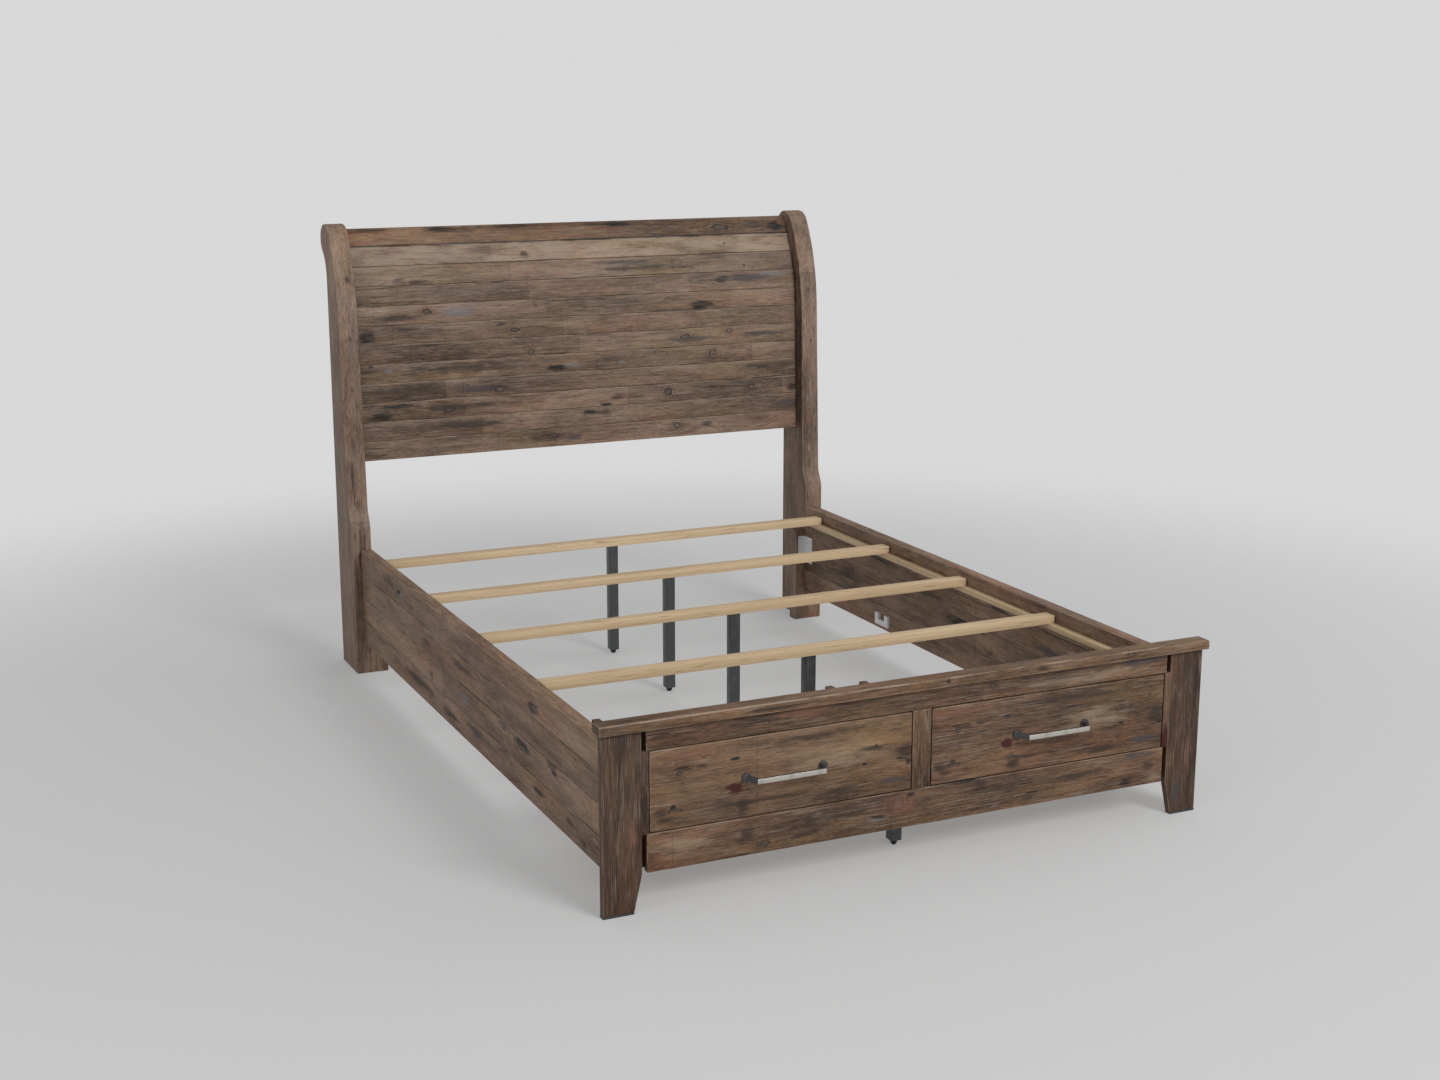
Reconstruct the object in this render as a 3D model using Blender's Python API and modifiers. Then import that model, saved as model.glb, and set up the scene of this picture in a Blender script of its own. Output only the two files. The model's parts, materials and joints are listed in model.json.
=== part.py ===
"""Queen-size storage bed frame: sleigh headboard, side rails, slats on steel centre legs, and a
footboard with two drawers. Metres, +Z up, foot end towards -Y, origin on the floor under the middle
of the whole frame. Distances named *_y below run from the front face of the foot legs towards the head."""

import math

import bmesh
import bpy

# ---- driving dimensions ----------------------------------------------------------------------
GAP = 0.0003  # fit between pieces that touch

MATTRESS_WIDTH = 1.524
MATTRESS_LENGTH = 2.032
SIDE_CLEARANCE = 0.007  # mattress to each side rail
END_CLEARANCE = 0.021  # both ends together

RAIL_THICKNESS = 0.037
RAIL_HEIGHT = 0.3025
RAIL_BOTTOM = 0.101
RAIL_PLANKS = 4

POST_HEIGHT = 1.410
POST_WIDTH = 0.062
POST_DEPTH = 0.178
POST_OVERHANG = 0.027  # post outer face beyond the rail outer face
STEP_RISE = 0.0625  # rail top up to the start of the step in the post
STEP_HEIGHT = 0.074
STEP_DEPTH = 0.025
LEAN = 0.024  # how far the straight front leans back above the step
CROWN_HEIGHT = 0.310  # top of the post down to where the front starts to curve
CROWN_RADIUS = 0.620
CROWN_TOP_DROP = 0.030  # top of the post down to where the crown rounds over
SCROLL_RADIUS = 0.048
SCROLL_SET = 0.011  # scroll centre behind the straight back of the post
NECK_RADIUS = 0.100

BLOCK_WIDTH = 0.039
BLOCK_DEPTH = 0.041
BLOCK_HEIGHT = 0.319

PANEL_RECESS = 0.042  # panel front behind the post front
PANEL_THICKNESS = 0.022
PANEL_BOTTOM = 0.672
PANEL_PLANKS = 11
HEAD_RAIL_HEIGHT = 0.054
HEAD_RAIL_DEPTH = 0.042
HEAD_RAIL_DROP = 0.018  # top of the post down to the top of the head rail
HEAD_RAIL_ROUND = 0.014

CLEAT_WIDTH = 0.022
CLEAT_HEIGHT = 0.015
CLEAT_DROP = 0.0385  # rail top down to the cleat top

SLAT_COUNT = 5
SLAT_WIDTH = 0.040
SLAT_THICKNESS = 0.023
SLAT_END_GAP = 0.005
FIRST_SLAT_Y = 0.125
LAST_SLAT_INSET = 0.113  # centre of the last slat in front of the posts

CENTRE_LEG_SIDE = 0.030
CENTRE_LEG_CLEARANCE = 0.012  # bottom of the tube above the floor
LEVELLER_RADIUS = 0.009
LEVELLER_TAPER = 0.006  # height over which the foot narrows to its tip
LEVELLER_TIP_RADIUS = 0.0065
LEVELLER_STEM_RADIUS = 0.004
LEVELLER_STEM = 0.030
LEVELLER_PLAY = 0.0005

LEG_OVERHANG = 0.0166  # foot leg outer face beyond the rail outer face
LEG_WIDTH = 0.0967
LEG_FOOT_WIDTH = 0.0758
LEG_TAPER_HEIGHT = 0.094
FACE_THICKNESS = 0.020  # foot legs, rails, mullion and drawer fronts
GLIDE_THICKNESS = 0.005
GLIDE_INSET = 0.002

CAP_BOTTOM = 0.4365
CAP_THICKNESS = 0.0245
CAP_OVERHANG = 0.015
CAP_DEPTH = 0.046
CAP_END_OVERHANG = 0.0094
CAP_ROUND = 0.006

APRON_BOTTOM = 0.094
APRON_HEIGHT = 0.093
FOOT_RAIL_HEIGHT = 0.0512
FACE_END_GAP = 0.012  # open joint between the face rails and the legs
MULLION_WIDTH = 0.051
STILE_WIDTH = 0.0164
STILE_DEPTH = 0.045
STILE_LAP = 0.024  # how far the stile reaches behind the rail and apron ends
STILE_TENON = 0.005  # depth of the stile's front strip let into its back board
STILE_UPPER_LAP = 0.030  # full-width head of the back board below the top rail

DRAWER_REVEAL = 0.0028
DRAWER_SIDE_SPACE = 0.011  # drawer front edge to box side
DRAWER_BOX_BACK_Y = 0.385
DRAWER_HEADROOM = 0.023  # box sides below the slats
DRAWER_WALL = 0.020
DRAWER_BACK_THICKNESS = 0.015
DRAWER_BACK_DROP = 0.022
DRAWER_BACK_INSET = 0.010
DRAWER_FLOOR = 0.006
DRAWER_FLOOR_RAISE = 0.010
DRAWER_GROOVE = 0.006

RUNNER_LEDGE = 0.010
RUNNER_LIP = 0.020
RUNNER_LIP_HEIGHT = 0.030
RUNNER_UNDER = 0.023  # how far the ledge reaches under the box side
RUNNER_PLAY = 0.0007

BACK_RAIL_THICKNESS = 0.038
BACK_RAIL_HEIGHT = 0.0595
BACK_RAIL_CLEARANCE = 0.006  # behind the closed drawers

HANGER_PRONG = 0.0215
HANGER_THICKNESS = 0.0125
HANGER_BOTTOM = 0.1175
HANGER_SEAT = 0.0175
HANGER_PRONG_HEIGHT = 0.021
HANGER_SPARE_INSET = 0.566  # spare hangers in front of the posts

BRACKET_SHEET = 0.003
BRACKET_HEIGHT = 0.091
BRACKET_DROP = 0.050  # bracket top below the cleats
BRACKET_SHORT = 0.026
BRACKET_LONG = 0.058
BRACKET_HOLE_RADIUS = 0.003
BRACKET_HOLE_INSET = 0.014

PULL_REACH = 0.040
PULL_BAR_LENGTH = 0.177
PULL_SPREAD = 0.199  # between the centres of the two bases
PULL_BAR_DEPTH = 0.007
PULL_BAR_HEIGHT = 0.012
PULL_BASE_RADIUS = 0.011
PULL_BASE_THICKNESS = 0.004

BOARD_EASE = 0.0015  # softened edge of a planed board
PLANK_GROOVE = 0.0022  # depth and half width of the V between two planks

# ---- sizes that follow -----------------------------------------------------------------------
RAIL_INNER = MATTRESS_WIDTH / 2 + SIDE_CLEARANCE
RAIL_OUTER = RAIL_INNER + RAIL_THICKNESS
RAIL_TOP = RAIL_BOTTOM + RAIL_HEIGHT
POST_OUTER = RAIL_OUTER + POST_OVERHANG
POST_INNER = POST_OUTER - POST_WIDTH
HEAD_Y = STILE_DEPTH + MATTRESS_LENGTH + END_CLEARANCE  # front of the posts
STEP_Z = RAIL_TOP + STEP_RISE
CLEAT_TOP = RAIL_TOP - CLEAT_DROP
LEG_OUTER = RAIL_OUTER + LEG_OVERHANG
LEG_INNER = LEG_OUTER - LEG_WIDTH
FACE_END = LEG_INNER - FACE_END_GAP
STILE_OUTER = LEG_INNER - GAP
STILE_INNER = STILE_OUTER - STILE_WIDTH
APRON_TOP = APRON_BOTTOM + APRON_HEIGHT
FOOT_RAIL_BOTTOM = CAP_BOTTOM - GAP - FOOT_RAIL_HEIGHT
DRAWER_INNER = MULLION_WIDTH / 2 + DRAWER_REVEAL
DRAWER_OUTER = STILE_INNER - DRAWER_REVEAL
DRAWER_BOTTOM = APRON_TOP + DRAWER_REVEAL
DRAWER_TOP = FOOT_RAIL_BOTTOM - DRAWER_REVEAL
DRAWER_MIDDLE = (DRAWER_INNER + DRAWER_OUTER) / 2
BOX_INNER = DRAWER_INNER + DRAWER_SIDE_SPACE
BOX_OUTER = DRAWER_OUTER - DRAWER_SIDE_SPACE
BACK_RAIL_BOTTOM = HANGER_BOTTOM + HANGER_SEAT + GAP
BACK_RAIL_TOP = BACK_RAIL_BOTTOM + BACK_RAIL_HEIGHT
BACK_RAIL_Y = DRAWER_BOX_BACK_Y + BACK_RAIL_CLEARANCE
RUNNER_BOTTOM = BACK_RAIL_TOP + GAP
BOX_BOTTOM = RUNNER_BOTTOM + RUNNER_LEDGE + GAP
FLOOR_BOTTOM = BOX_BOTTOM + DRAWER_FLOOR_RAISE
DRAWER_BOX_TOP = CLEAT_TOP - DRAWER_HEADROOM
BRACKET_TOP = CLEAT_TOP - CLEAT_HEIGHT - BRACKET_DROP
SLAT_LAST_Y = HEAD_Y - LAST_SLAT_INSET
HEAD_RAIL_TOP = POST_HEIGHT - HEAD_RAIL_DROP
HEAD_RAIL_BOTTOM = HEAD_RAIL_TOP - HEAD_RAIL_HEIGHT
PANEL_TOP = HEAD_RAIL_BOTTOM - GAP
REACH_BACK = HEAD_Y + POST_DEPTH + SCROLL_SET + SCROLL_RADIUS

TURN_YZ = (math.pi / 2, 0, math.pi / 2)  # local x, y, z become +Y, +Z, +X
TURN_XZ = (math.pi / 2, 0, 0)  # local x, y, z become +X, +Z, -Y
SIDES = (("left", -1), ("right", 1))

for old in list(bpy.data.objects):
    bpy.data.objects.remove(old)
parts = bpy.data.collections.new("bed_frame")
cutters = bpy.data.collections.new("bed_frame_cutters")
for group in (parts, cutters):
    bpy.context.scene.collection.children.link(group)


def material(name, colour, roughness, metallic=0.0):
    made = bpy.data.materials.new(name)
    made.use_nodes = True
    shader = made.node_tree.nodes["Principled BSDF"]
    shader.inputs["Base Color"].default_value = (*colour, 1)
    shader.inputs["Roughness"].default_value = roughness
    shader.inputs["Metallic"].default_value = metallic
    return made


stained_wood = material("stained_wood", (0.150, 0.098, 0.066), 0.72)
drawer_wood = material("drawer_wood", (0.165, 0.098, 0.064), 0.70)
pine = material("pine", (0.430, 0.300, 0.165), 0.68)
black_steel = material("black_steel", (0.035, 0.035, 0.038), 0.45, 0.8)
black_plastic = material("black_plastic", (0.012, 0.012, 0.012), 0.55)
zinc_steel = material("zinc_steel", (0.420, 0.430, 0.440), 0.42, 0.9)
pewter = material("pewter", (0.480, 0.460, 0.430), 0.35, 1.0)


def empty(name, location, parent=None):
    made = bpy.data.objects.new(name, None)
    made.location = location
    made.parent = parent
    parts.objects.link(made)
    return made


bed = empty("bed_frame", (0, (PULL_REACH - REACH_BACK) / 2, 0))


def place(obj, finish, location=(0, 0, 0), turn=(0, 0, 0), parent=None):
    """Put a new piece in the bed, in its own material."""
    obj.data.materials.append(finish)
    obj.location = location
    obj.rotation_euler = turn
    obj.parent = parent or bed
    parts.objects.link(obj)
    return obj


def board(name, x, y, z, finish, ease=BOARD_EASE, parent=None):
    """A straight board between three pairs of faces, its edges eased."""
    shape = bmesh.new()
    bmesh.ops.create_cube(shape, size=1)
    size = (x[1] - x[0], y[1] - y[0], z[1] - z[0])
    bmesh.ops.scale(shape, vec=size, verts=shape.verts)
    mesh = bpy.data.meshes.new(name)
    shape.to_mesh(mesh)
    shape.free()
    middle = [sum(span) / 2 for span in (x, y, z)]
    if parent:
        middle = [m - p for m, p in zip(middle, parent.location)]
    obj = place(bpy.data.objects.new(name, mesh), finish, middle, parent=parent)
    if ease:
        bevel = obj.modifiers.new("eased_edges", "BEVEL")
        bevel.width = ease
        bevel.segments = 1
        bevel.limit_method = "NONE"
    return obj


def outline(name, points, thickness):
    """A flat closed outline, filled and thickened about its own plane."""
    curve = bpy.data.curves.new(name, "CURVE")
    curve.dimensions = "2D"
    curve.fill_mode = "BOTH"
    curve.extrude = thickness / 2
    spline = curve.splines.new("POLY")
    spline.points.add(len(points) - 1)
    for point, (u, v) in zip(spline.points, points):
        point.co = (u, v, 0, 1)
    spline.use_cyclic_u = True
    return bpy.data.objects.new(name, curve)


def as_mesh(obj):
    """The same piece as a welded mesh, so that it takes a Boolean."""
    graph = bpy.context.evaluated_depsgraph_get()
    mesh = bpy.data.meshes.new_from_object(obj.evaluated_get(graph))
    shape = bmesh.new()
    shape.from_mesh(mesh)
    bmesh.ops.remove_doubles(shape, verts=shape.verts, dist=0.00001)
    bmesh.ops.recalc_face_normals(shape, faces=shape.faces)
    shape.to_mesh(mesh)
    shape.free()
    made = bpy.data.objects.new(obj.name, mesh)
    made.location = obj.location
    made.rotation_euler = obj.rotation_euler
    made.parent = obj.parent
    name = obj.name
    bpy.data.objects.remove(obj)
    made.name = name
    parts.objects.link(made)
    return made


def rod(name, radius, length, middle, axis, sides=20):
    """A plain round bar in the cutters' collection, along X, Y or Z."""
    shape = bmesh.new()
    bmesh.ops.create_cone(
        shape, cap_ends=True, segments=sides, radius1=radius, radius2=radius, depth=length
    )
    mesh = bpy.data.meshes.new(name)
    shape.to_mesh(mesh)
    shape.free()
    obj = bpy.data.objects.new(name, mesh)
    obj.location = middle
    obj.rotation_euler = {"X": (0, math.pi / 2, 0), "Y": (math.pi / 2, 0, 0), "Z": (0, 0, 0)}[axis]
    obj.parent = bed
    obj.hide_render = True
    obj.display_type = "WIRE"
    cutters.objects.link(obj)
    return obj


def combine(obj, other, operation):
    modifier = obj.modifiers.new(other.name, "BOOLEAN")
    modifier.operation = operation
    modifier.object = other


def arc(centre, radius, start, end, steps):
    """Points along an arc, angles in degrees."""
    turns = [math.radians(start + (end - start) * i / steps) for i in range(steps + 1)]
    return [(centre[0] + radius * math.cos(a), centre[1] + radius * math.sin(a)) for a in turns]


def span(side, near, far):
    """The pair of X values between two distances from the middle, on one side of the bed."""
    return (near, far) if side > 0 else (-far, -near)


# ---- headboard -------------------------------------------------------------------------------
# The side profile of the sleigh headboard, as (distance behind the post front, height).
LEAN_START = (STEP_DEPTH, STEP_Z + STEP_HEIGHT)
LEAN_END = (STEP_DEPTH + LEAN, POST_HEIGHT - CROWN_HEIGHT)
LEAN_ANGLE = math.atan2(LEAN, LEAN_END[1] - LEAN_START[1])
CROWN_CENTRE = (
    LEAN_END[0] + CROWN_RADIUS * math.cos(LEAN_ANGLE),
    LEAN_END[1] - CROWN_RADIUS * math.sin(LEAN_ANGLE),
)


def crown_angle(radius, height):
    """Where an arc about the crown centre reaches a height, in degrees."""
    return 180 - math.degrees(math.asin((height - CROWN_CENTRE[1]) / radius))


def crown_curve(recess, bottom, top, steps):
    """The curved front from one height to another, set back from the post front."""
    radius = CROWN_RADIUS - recess
    return arc(CROWN_CENTRE, radius, crown_angle(radius, bottom), crown_angle(radius, top), steps)


def front_point(recess, height):
    """A point on the leaning and then curving front, set back from the post front."""
    if height > LEAN_END[1]:
        return crown_curve(recess, height, height, 1)[0]
    share = (height - LEAN_START[1]) / (LEAN_END[1] - LEAN_START[1])
    return (LEAN_START[0] + LEAN * share + recess / math.cos(LEAN_ANGLE), height)


def step_curve(steps=8):
    """The S-shaped step above the side rails."""
    shares = [i / steps for i in range(steps + 1)]
    return [(STEP_DEPTH * s * s * (3 - 2 * s), STEP_Z + STEP_HEIGHT * s) for s in shares]


def round_over(start, slope, end, steps):
    """A soft corner from a sloping start to a level end."""
    corner = (start[0] + slope * (end[1] - start[1]), end[1])
    points = []
    for i in range(1, steps):
        t = i / steps
        weights = ((1 - t) ** 2, 2 * t * (1 - t), t * t)
        ends = (start, corner, end)
        points.append(tuple(sum(w * e[k] for w, e in zip(weights, ends)) for k in (0, 1)))
    return points


def post_profile():
    scroll = (POST_DEPTH + SCROLL_SET, POST_HEIGHT - SCROLL_RADIUS)
    reach = SCROLL_RADIUS + NECK_RADIUS
    neck_drop = math.sqrt(reach**2 - (NECK_RADIUS - SCROLL_SET) ** 2)
    neck = (POST_DEPTH + NECK_RADIUS, scroll[1] - neck_drop)
    meet = math.degrees(math.atan2(scroll[1] - neck[1], scroll[0] - neck[0]))
    front = [(0, 0), *step_curve(), *crown_curve(0, LEAN_END[1], POST_HEIGHT - CROWN_TOP_DROP, 8)]
    end = front[-1]
    slope = (end[1] - CROWN_CENTRE[1]) / (CROWN_CENTRE[0] - end[0])
    top = (scroll[0], POST_HEIGHT)
    return [
        *front,
        *round_over(end, slope, top, 5),
        *arc(scroll, SCROLL_RADIUS, 90, 0, 6),
        *arc(scroll, SCROLL_RADIUS, 0, meet - 180, 4)[1:],
        *arc(neck, NECK_RADIUS, meet, 180, 6)[1:],
        (POST_DEPTH, 0),
    ]


def panel_outline():
    """Flat planks edge to edge, following the leaning front and the crown, a V at each joint."""
    pitch = (PANEL_TOP - PANEL_BOTTOM) / PANEL_PLANKS
    front = [front_point(PANEL_RECESS, PANEL_BOTTOM)]
    back = [front_point(PANEL_RECESS + PANEL_THICKNESS, PANEL_BOTTOM)]
    for number in range(1, PANEL_PLANKS):
        joint = PANEL_BOTTOM + pitch * number
        front.append(front_point(PANEL_RECESS, joint - PLANK_GROOVE))
        front.append(front_point(PANEL_RECESS + PLANK_GROOVE, joint))
        front.append(front_point(PANEL_RECESS, joint + PLANK_GROOVE))
        back.append(front_point(PANEL_RECESS + PANEL_THICKNESS, joint))
    front.append(front_point(PANEL_RECESS, PANEL_TOP))
    back.append(front_point(PANEL_RECESS + PANEL_THICKNESS, PANEL_TOP))
    return front + back[::-1]


def head_rail_outline():
    front = crown_curve(PANEL_RECESS, HEAD_RAIL_BOTTOM, HEAD_RAIL_TOP - HEAD_RAIL_ROUND, 4)
    last = front[-1]
    slope = (last[1] - CROWN_CENTRE[1]) / (CROWN_CENTRE[0] - last[0])
    back = last[0] + HEAD_RAIL_DEPTH
    corner = (back - HEAD_RAIL_ROUND, HEAD_RAIL_TOP - HEAD_RAIL_ROUND)
    return [
        *front,
        *round_over(last, slope, (corner[0] - HEAD_RAIL_ROUND / 2, HEAD_RAIL_TOP), 4),
        *arc(corner, HEAD_RAIL_ROUND, 90, 0, 4),
        (back, HEAD_RAIL_BOTTOM + HEAD_RAIL_ROUND),
        (front[0][0] + HEAD_RAIL_DEPTH, HEAD_RAIL_BOTTOM),
    ]


def headboard():
    for side_name, side in SIDES:
        post = outline(f"headboard_post_{side_name}", post_profile(), POST_WIDTH)
        place(post, stained_wood, (side * (POST_INNER + POST_OUTER) / 2, HEAD_Y, 0), TURN_YZ)
        inner = POST_INNER - GAP
        board(
            f"headboard_block_{side_name}",
            span(side, inner - BLOCK_WIDTH, inner),
            (HEAD_Y, HEAD_Y + BLOCK_DEPTH),
            (0, BLOCK_HEIGHT),
            stained_wood,
        )
    width = 2 * (POST_INNER - GAP)
    panel = outline("headboard_panel", panel_outline(), width)
    place(panel, stained_wood, (0, HEAD_Y, 0), TURN_YZ)
    rail = outline("headboard_top_rail", head_rail_outline(), width)
    place(rail, stained_wood, (0, HEAD_Y, 0), TURN_YZ)


# ---- side rails and slats --------------------------------------------------------------------
def planked_face(x, inward):
    """One face of a side rail from bottom to top: planks with a V at each joint."""
    pitch = RAIL_HEIGHT / RAIL_PLANKS
    face = [(x + inward * BOARD_EASE, RAIL_BOTTOM), (x, RAIL_BOTTOM + BOARD_EASE)]
    for number in range(1, RAIL_PLANKS):
        joint = RAIL_BOTTOM + pitch * number
        face.append((x, joint - PLANK_GROOVE))
        face.append((x + inward * PLANK_GROOVE, joint))
        face.append((x, joint + PLANK_GROOVE))
    return [*face, (x, RAIL_TOP - BOARD_EASE), (x + inward * BOARD_EASE, RAIL_TOP)]


def side_rails():
    start = FACE_THICKNESS + GAP
    length = HEAD_Y - GAP - start
    section = planked_face(RAIL_INNER, 1) + planked_face(RAIL_OUTER, -1)[::-1]
    for side_name, side in SIDES:
        rail = outline(f"side_rail_{side_name}", [(side * x, z) for x, z in section], length)
        place(rail, stained_wood, (0, start + length / 2, 0), TURN_XZ)
        board(
            f"slat_cleat_{side_name}",
            span(side, RAIL_INNER - GAP - CLEAT_WIDTH, RAIL_INNER - GAP),
            (STILE_DEPTH + GAP, HEAD_Y - GAP),
            (CLEAT_TOP - CLEAT_HEIGHT, CLEAT_TOP),
            pine,
            ease=0,
        )


def slat_middles():
    pitch = (SLAT_LAST_Y - FIRST_SLAT_Y) / (SLAT_COUNT - 1)
    return [FIRST_SLAT_Y + pitch * i for i in range(SLAT_COUNT)]


def leveller_profile():
    """Half section of a levelling foot, top to bottom, as (radius, height)."""
    top = CENTRE_LEG_CLEARANCE - LEVELLER_PLAY
    return [
        (0, CENTRE_LEG_CLEARANCE + LEVELLER_STEM),
        (LEVELLER_STEM_RADIUS, CENTRE_LEG_CLEARANCE + LEVELLER_STEM),
        (LEVELLER_STEM_RADIUS, top),
        (LEVELLER_RADIUS, top),
        (LEVELLER_RADIUS, LEVELLER_TAPER),
        (LEVELLER_TIP_RADIUS, 0),
        (0, 0),
    ]


def turned(name, profile, finish, location, parent=None, steps=24):
    mesh = bpy.data.meshes.new(name)
    edges = [(i, i + 1) for i in range(len(profile) - 1)]
    mesh.from_pydata([(r, 0, z) for r, z in profile], edges, [])
    obj = place(bpy.data.objects.new(name, mesh), finish, location, parent=parent)
    screw = obj.modifiers.new("turning", "SCREW")
    screw.steps = steps
    screw.render_steps = steps
    screw.use_merge_vertices = True
    screw.merge_threshold = 0.00001
    return obj


def slats_and_legs():
    for number, middle in enumerate(slat_middles(), 1):
        board(
            f"slat_{number}",
            (-(RAIL_INNER - SLAT_END_GAP), RAIL_INNER - SLAT_END_GAP),
            (middle - SLAT_WIDTH / 2, middle + SLAT_WIDTH / 2),
            (CLEAT_TOP + GAP, CLEAT_TOP + GAP + SLAT_THICKNESS),
            pine,
            ease=0,
        )
        half = CENTRE_LEG_SIDE / 2
        leg = board(
            f"centre_leg_{number}",
            (-half, half),
            (middle - half, middle + half),
            (CENTRE_LEG_CLEARANCE, CLEAT_TOP),
            black_steel,
        )
        socket = rod(
            f"leveller_socket_{number}",
            LEVELLER_STEM_RADIUS + LEVELLER_PLAY,
            2 * (LEVELLER_STEM + LEVELLER_PLAY + 0.002),
            (0, middle, CENTRE_LEG_CLEARANCE),
            "Z",
            24,
        )
        combine(leg, socket, "DIFFERENCE")
        turned(f"leveller_{number}", leveller_profile(), black_plastic, (0, middle, 0))


# ---- footboard -------------------------------------------------------------------------------
def foot_leg_width(height):
    """Width of a foot leg in its taper: straight on the outside, tapered on the inside."""
    return LEG_FOOT_WIDTH + (LEG_WIDTH - LEG_FOOT_WIDTH) * height / LEG_TAPER_HEIGHT


def foot_legs():
    top = CAP_BOTTOM - GAP
    bottom = GLIDE_THICKNESS + GAP
    for side_name, side in SIDES:
        points = [
            (LEG_OUTER, bottom),
            (LEG_OUTER, top),
            (LEG_INNER, top),
            (LEG_INNER, LEG_TAPER_HEIGHT),
            (LEG_OUTER - foot_leg_width(bottom), bottom),
        ]
        mirrored = [(side * x, z) for x, z in points]
        leg = outline(f"foot_leg_{side_name}", mirrored, FACE_THICKNESS)
        place(leg, stained_wood, (0, FACE_THICKNESS / 2, 0), TURN_XZ)
        board(
            f"foot_glide_{side_name}",
            span(side, LEG_OUTER - foot_leg_width(0) + GLIDE_INSET, LEG_OUTER - GLIDE_INSET),
            (GLIDE_INSET, FACE_THICKNESS - GLIDE_INSET),
            (0, GLIDE_THICKNESS),
            black_plastic,
            ease=0,
        )


def footboard_cap():
    half = LEG_OUTER + CAP_END_OVERHANG
    y = (-CAP_OVERHANG, CAP_DEPTH - CAP_OVERHANG)
    z = (CAP_BOTTOM, CAP_BOTTOM + CAP_THICKNESS)
    cap = board("footboard_cap", (-half, half), y, z, stained_wood, ease=0)
    shape = bmesh.new()
    shape.from_mesh(cap.data)
    top = [e for e in shape.edges if all(v.co.z > 0 for v in e.verts)]
    bmesh.ops.bevel(shape, geom=top, offset=CAP_ROUND, segments=4, profile=0.5, affect="EDGES")
    shape.to_mesh(cap.data)
    shape.free()


def stile(side_name, side):
    """The corner stile: a strip between leg and drawer, on a notched board behind the leg."""
    lap = STILE_INNER - STILE_LAP + STILE_WIDTH
    notch = BOX_OUTER + RUNNER_PLAY + RUNNER_LIP + GAP
    low = APRON_TOP
    high = FOOT_RAIL_BOTTOM - STILE_UPPER_LAP
    outer = RAIL_INNER - GAP
    points = [
        (outer, RAIL_BOTTOM),
        (outer, CAP_BOTTOM - GAP),
        (lap, CAP_BOTTOM - GAP),
        (lap, high),
        (notch, high),
        (notch, low),
        (lap, low),
        (lap, RAIL_BOTTOM),
    ]
    depth = STILE_DEPTH - FACE_THICKNESS - GAP
    back = outline(f"footboard_stile_{side_name}", [(side * x, z) for x, z in points], depth)
    place(back, stained_wood, (0, FACE_THICKNESS + GAP + depth / 2, 0), TURN_XZ)
    back = as_mesh(back)
    strip = board(
        f"stile_strip_{side_name}",
        span(side, STILE_INNER, STILE_OUTER),
        (0, FACE_THICKNESS + STILE_TENON),
        (APRON_TOP + GAP, FOOT_RAIL_BOTTOM - GAP),
        stained_wood,
        ease=0,
    )
    parts.objects.unlink(strip)
    cutters.objects.link(strip)
    strip.hide_render = True
    strip.display_type = "WIRE"
    combine(back, strip, "UNION")


def footboard():
    foot_legs()
    footboard_cap()
    face = (0, FACE_THICKNESS)
    rail_z = (FOOT_RAIL_BOTTOM, CAP_BOTTOM - GAP)
    board("footboard_top_rail", (-FACE_END, FACE_END), face, rail_z, stained_wood)
    board("footboard_apron", (-FACE_END, FACE_END), face, (APRON_BOTTOM, APRON_TOP), stained_wood)
    half = MULLION_WIDTH / 2
    mullion_z = (APRON_TOP + GAP, FOOT_RAIL_BOTTOM - GAP)
    board("footboard_mullion", (-half, half), face, mullion_z, stained_wood)
    for side_name, side in SIDES:
        stile(side_name, side)


# ---- drawers ---------------------------------------------------------------------------------
def drawer_side(name, outer_face, towards, parent):
    """A drawer wall as its own cross-section, with the groove that holds the drawer floor."""
    inner = outer_face + towards * DRAWER_WALL
    groove = inner - towards * DRAWER_GROOVE
    points = [
        (outer_face, BOX_BOTTOM),
        (inner, BOX_BOTTOM),
        (inner, FLOOR_BOTTOM - GAP),
        (groove, FLOOR_BOTTOM - GAP),
        (groove, FLOOR_BOTTOM + DRAWER_FLOOR + GAP),
        (inner, FLOOR_BOTTOM + DRAWER_FLOOR + GAP),
        (inner, DRAWER_BOX_TOP),
        (outer_face, DRAWER_BOX_TOP),
    ]
    local = [(x - parent.location.x, z - parent.location.z) for x, z in points]
    length = DRAWER_BOX_BACK_Y - FACE_THICKNESS - GAP
    middle = (0, FACE_THICKNESS + GAP + length / 2 - parent.location.y, 0)
    place(outline(name, local, length), drawer_wood, middle, TURN_XZ, parent)


def pull(name, middle, parent):
    """A flat bar pull on two round bases, its legs leaning in towards the bar."""
    bar = PULL_BAR_LENGTH / 2
    foot = PULL_SPREAD / 2
    back = -PULL_BASE_THICKNESS
    half = PULL_BAR_DEPTH / 2
    right = [
        (bar, -PULL_REACH),
        (foot + half, back),
        (foot - half, back),
        (bar - PULL_BAR_DEPTH * 0.8, -PULL_REACH + PULL_BAR_DEPTH),
    ]
    points = right + [(-x, y) for x, y in right[::-1]]
    place(outline(name, points, PULL_BAR_HEIGHT), pewter, (middle, 0, 0), parent=parent)
    obj = as_mesh(bpy.data.objects[name])
    for end in (-1, 1):
        base = rod(
            f"{name}_base_{end}",
            PULL_BASE_RADIUS,
            PULL_BASE_THICKNESS,
            (
                parent.location.x + middle + end * foot,
                parent.location.y - GAP - PULL_BASE_THICKNESS / 2,
                parent.location.z,
            ),
            "Y",
        )
        combine(obj, base, "UNION")


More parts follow.
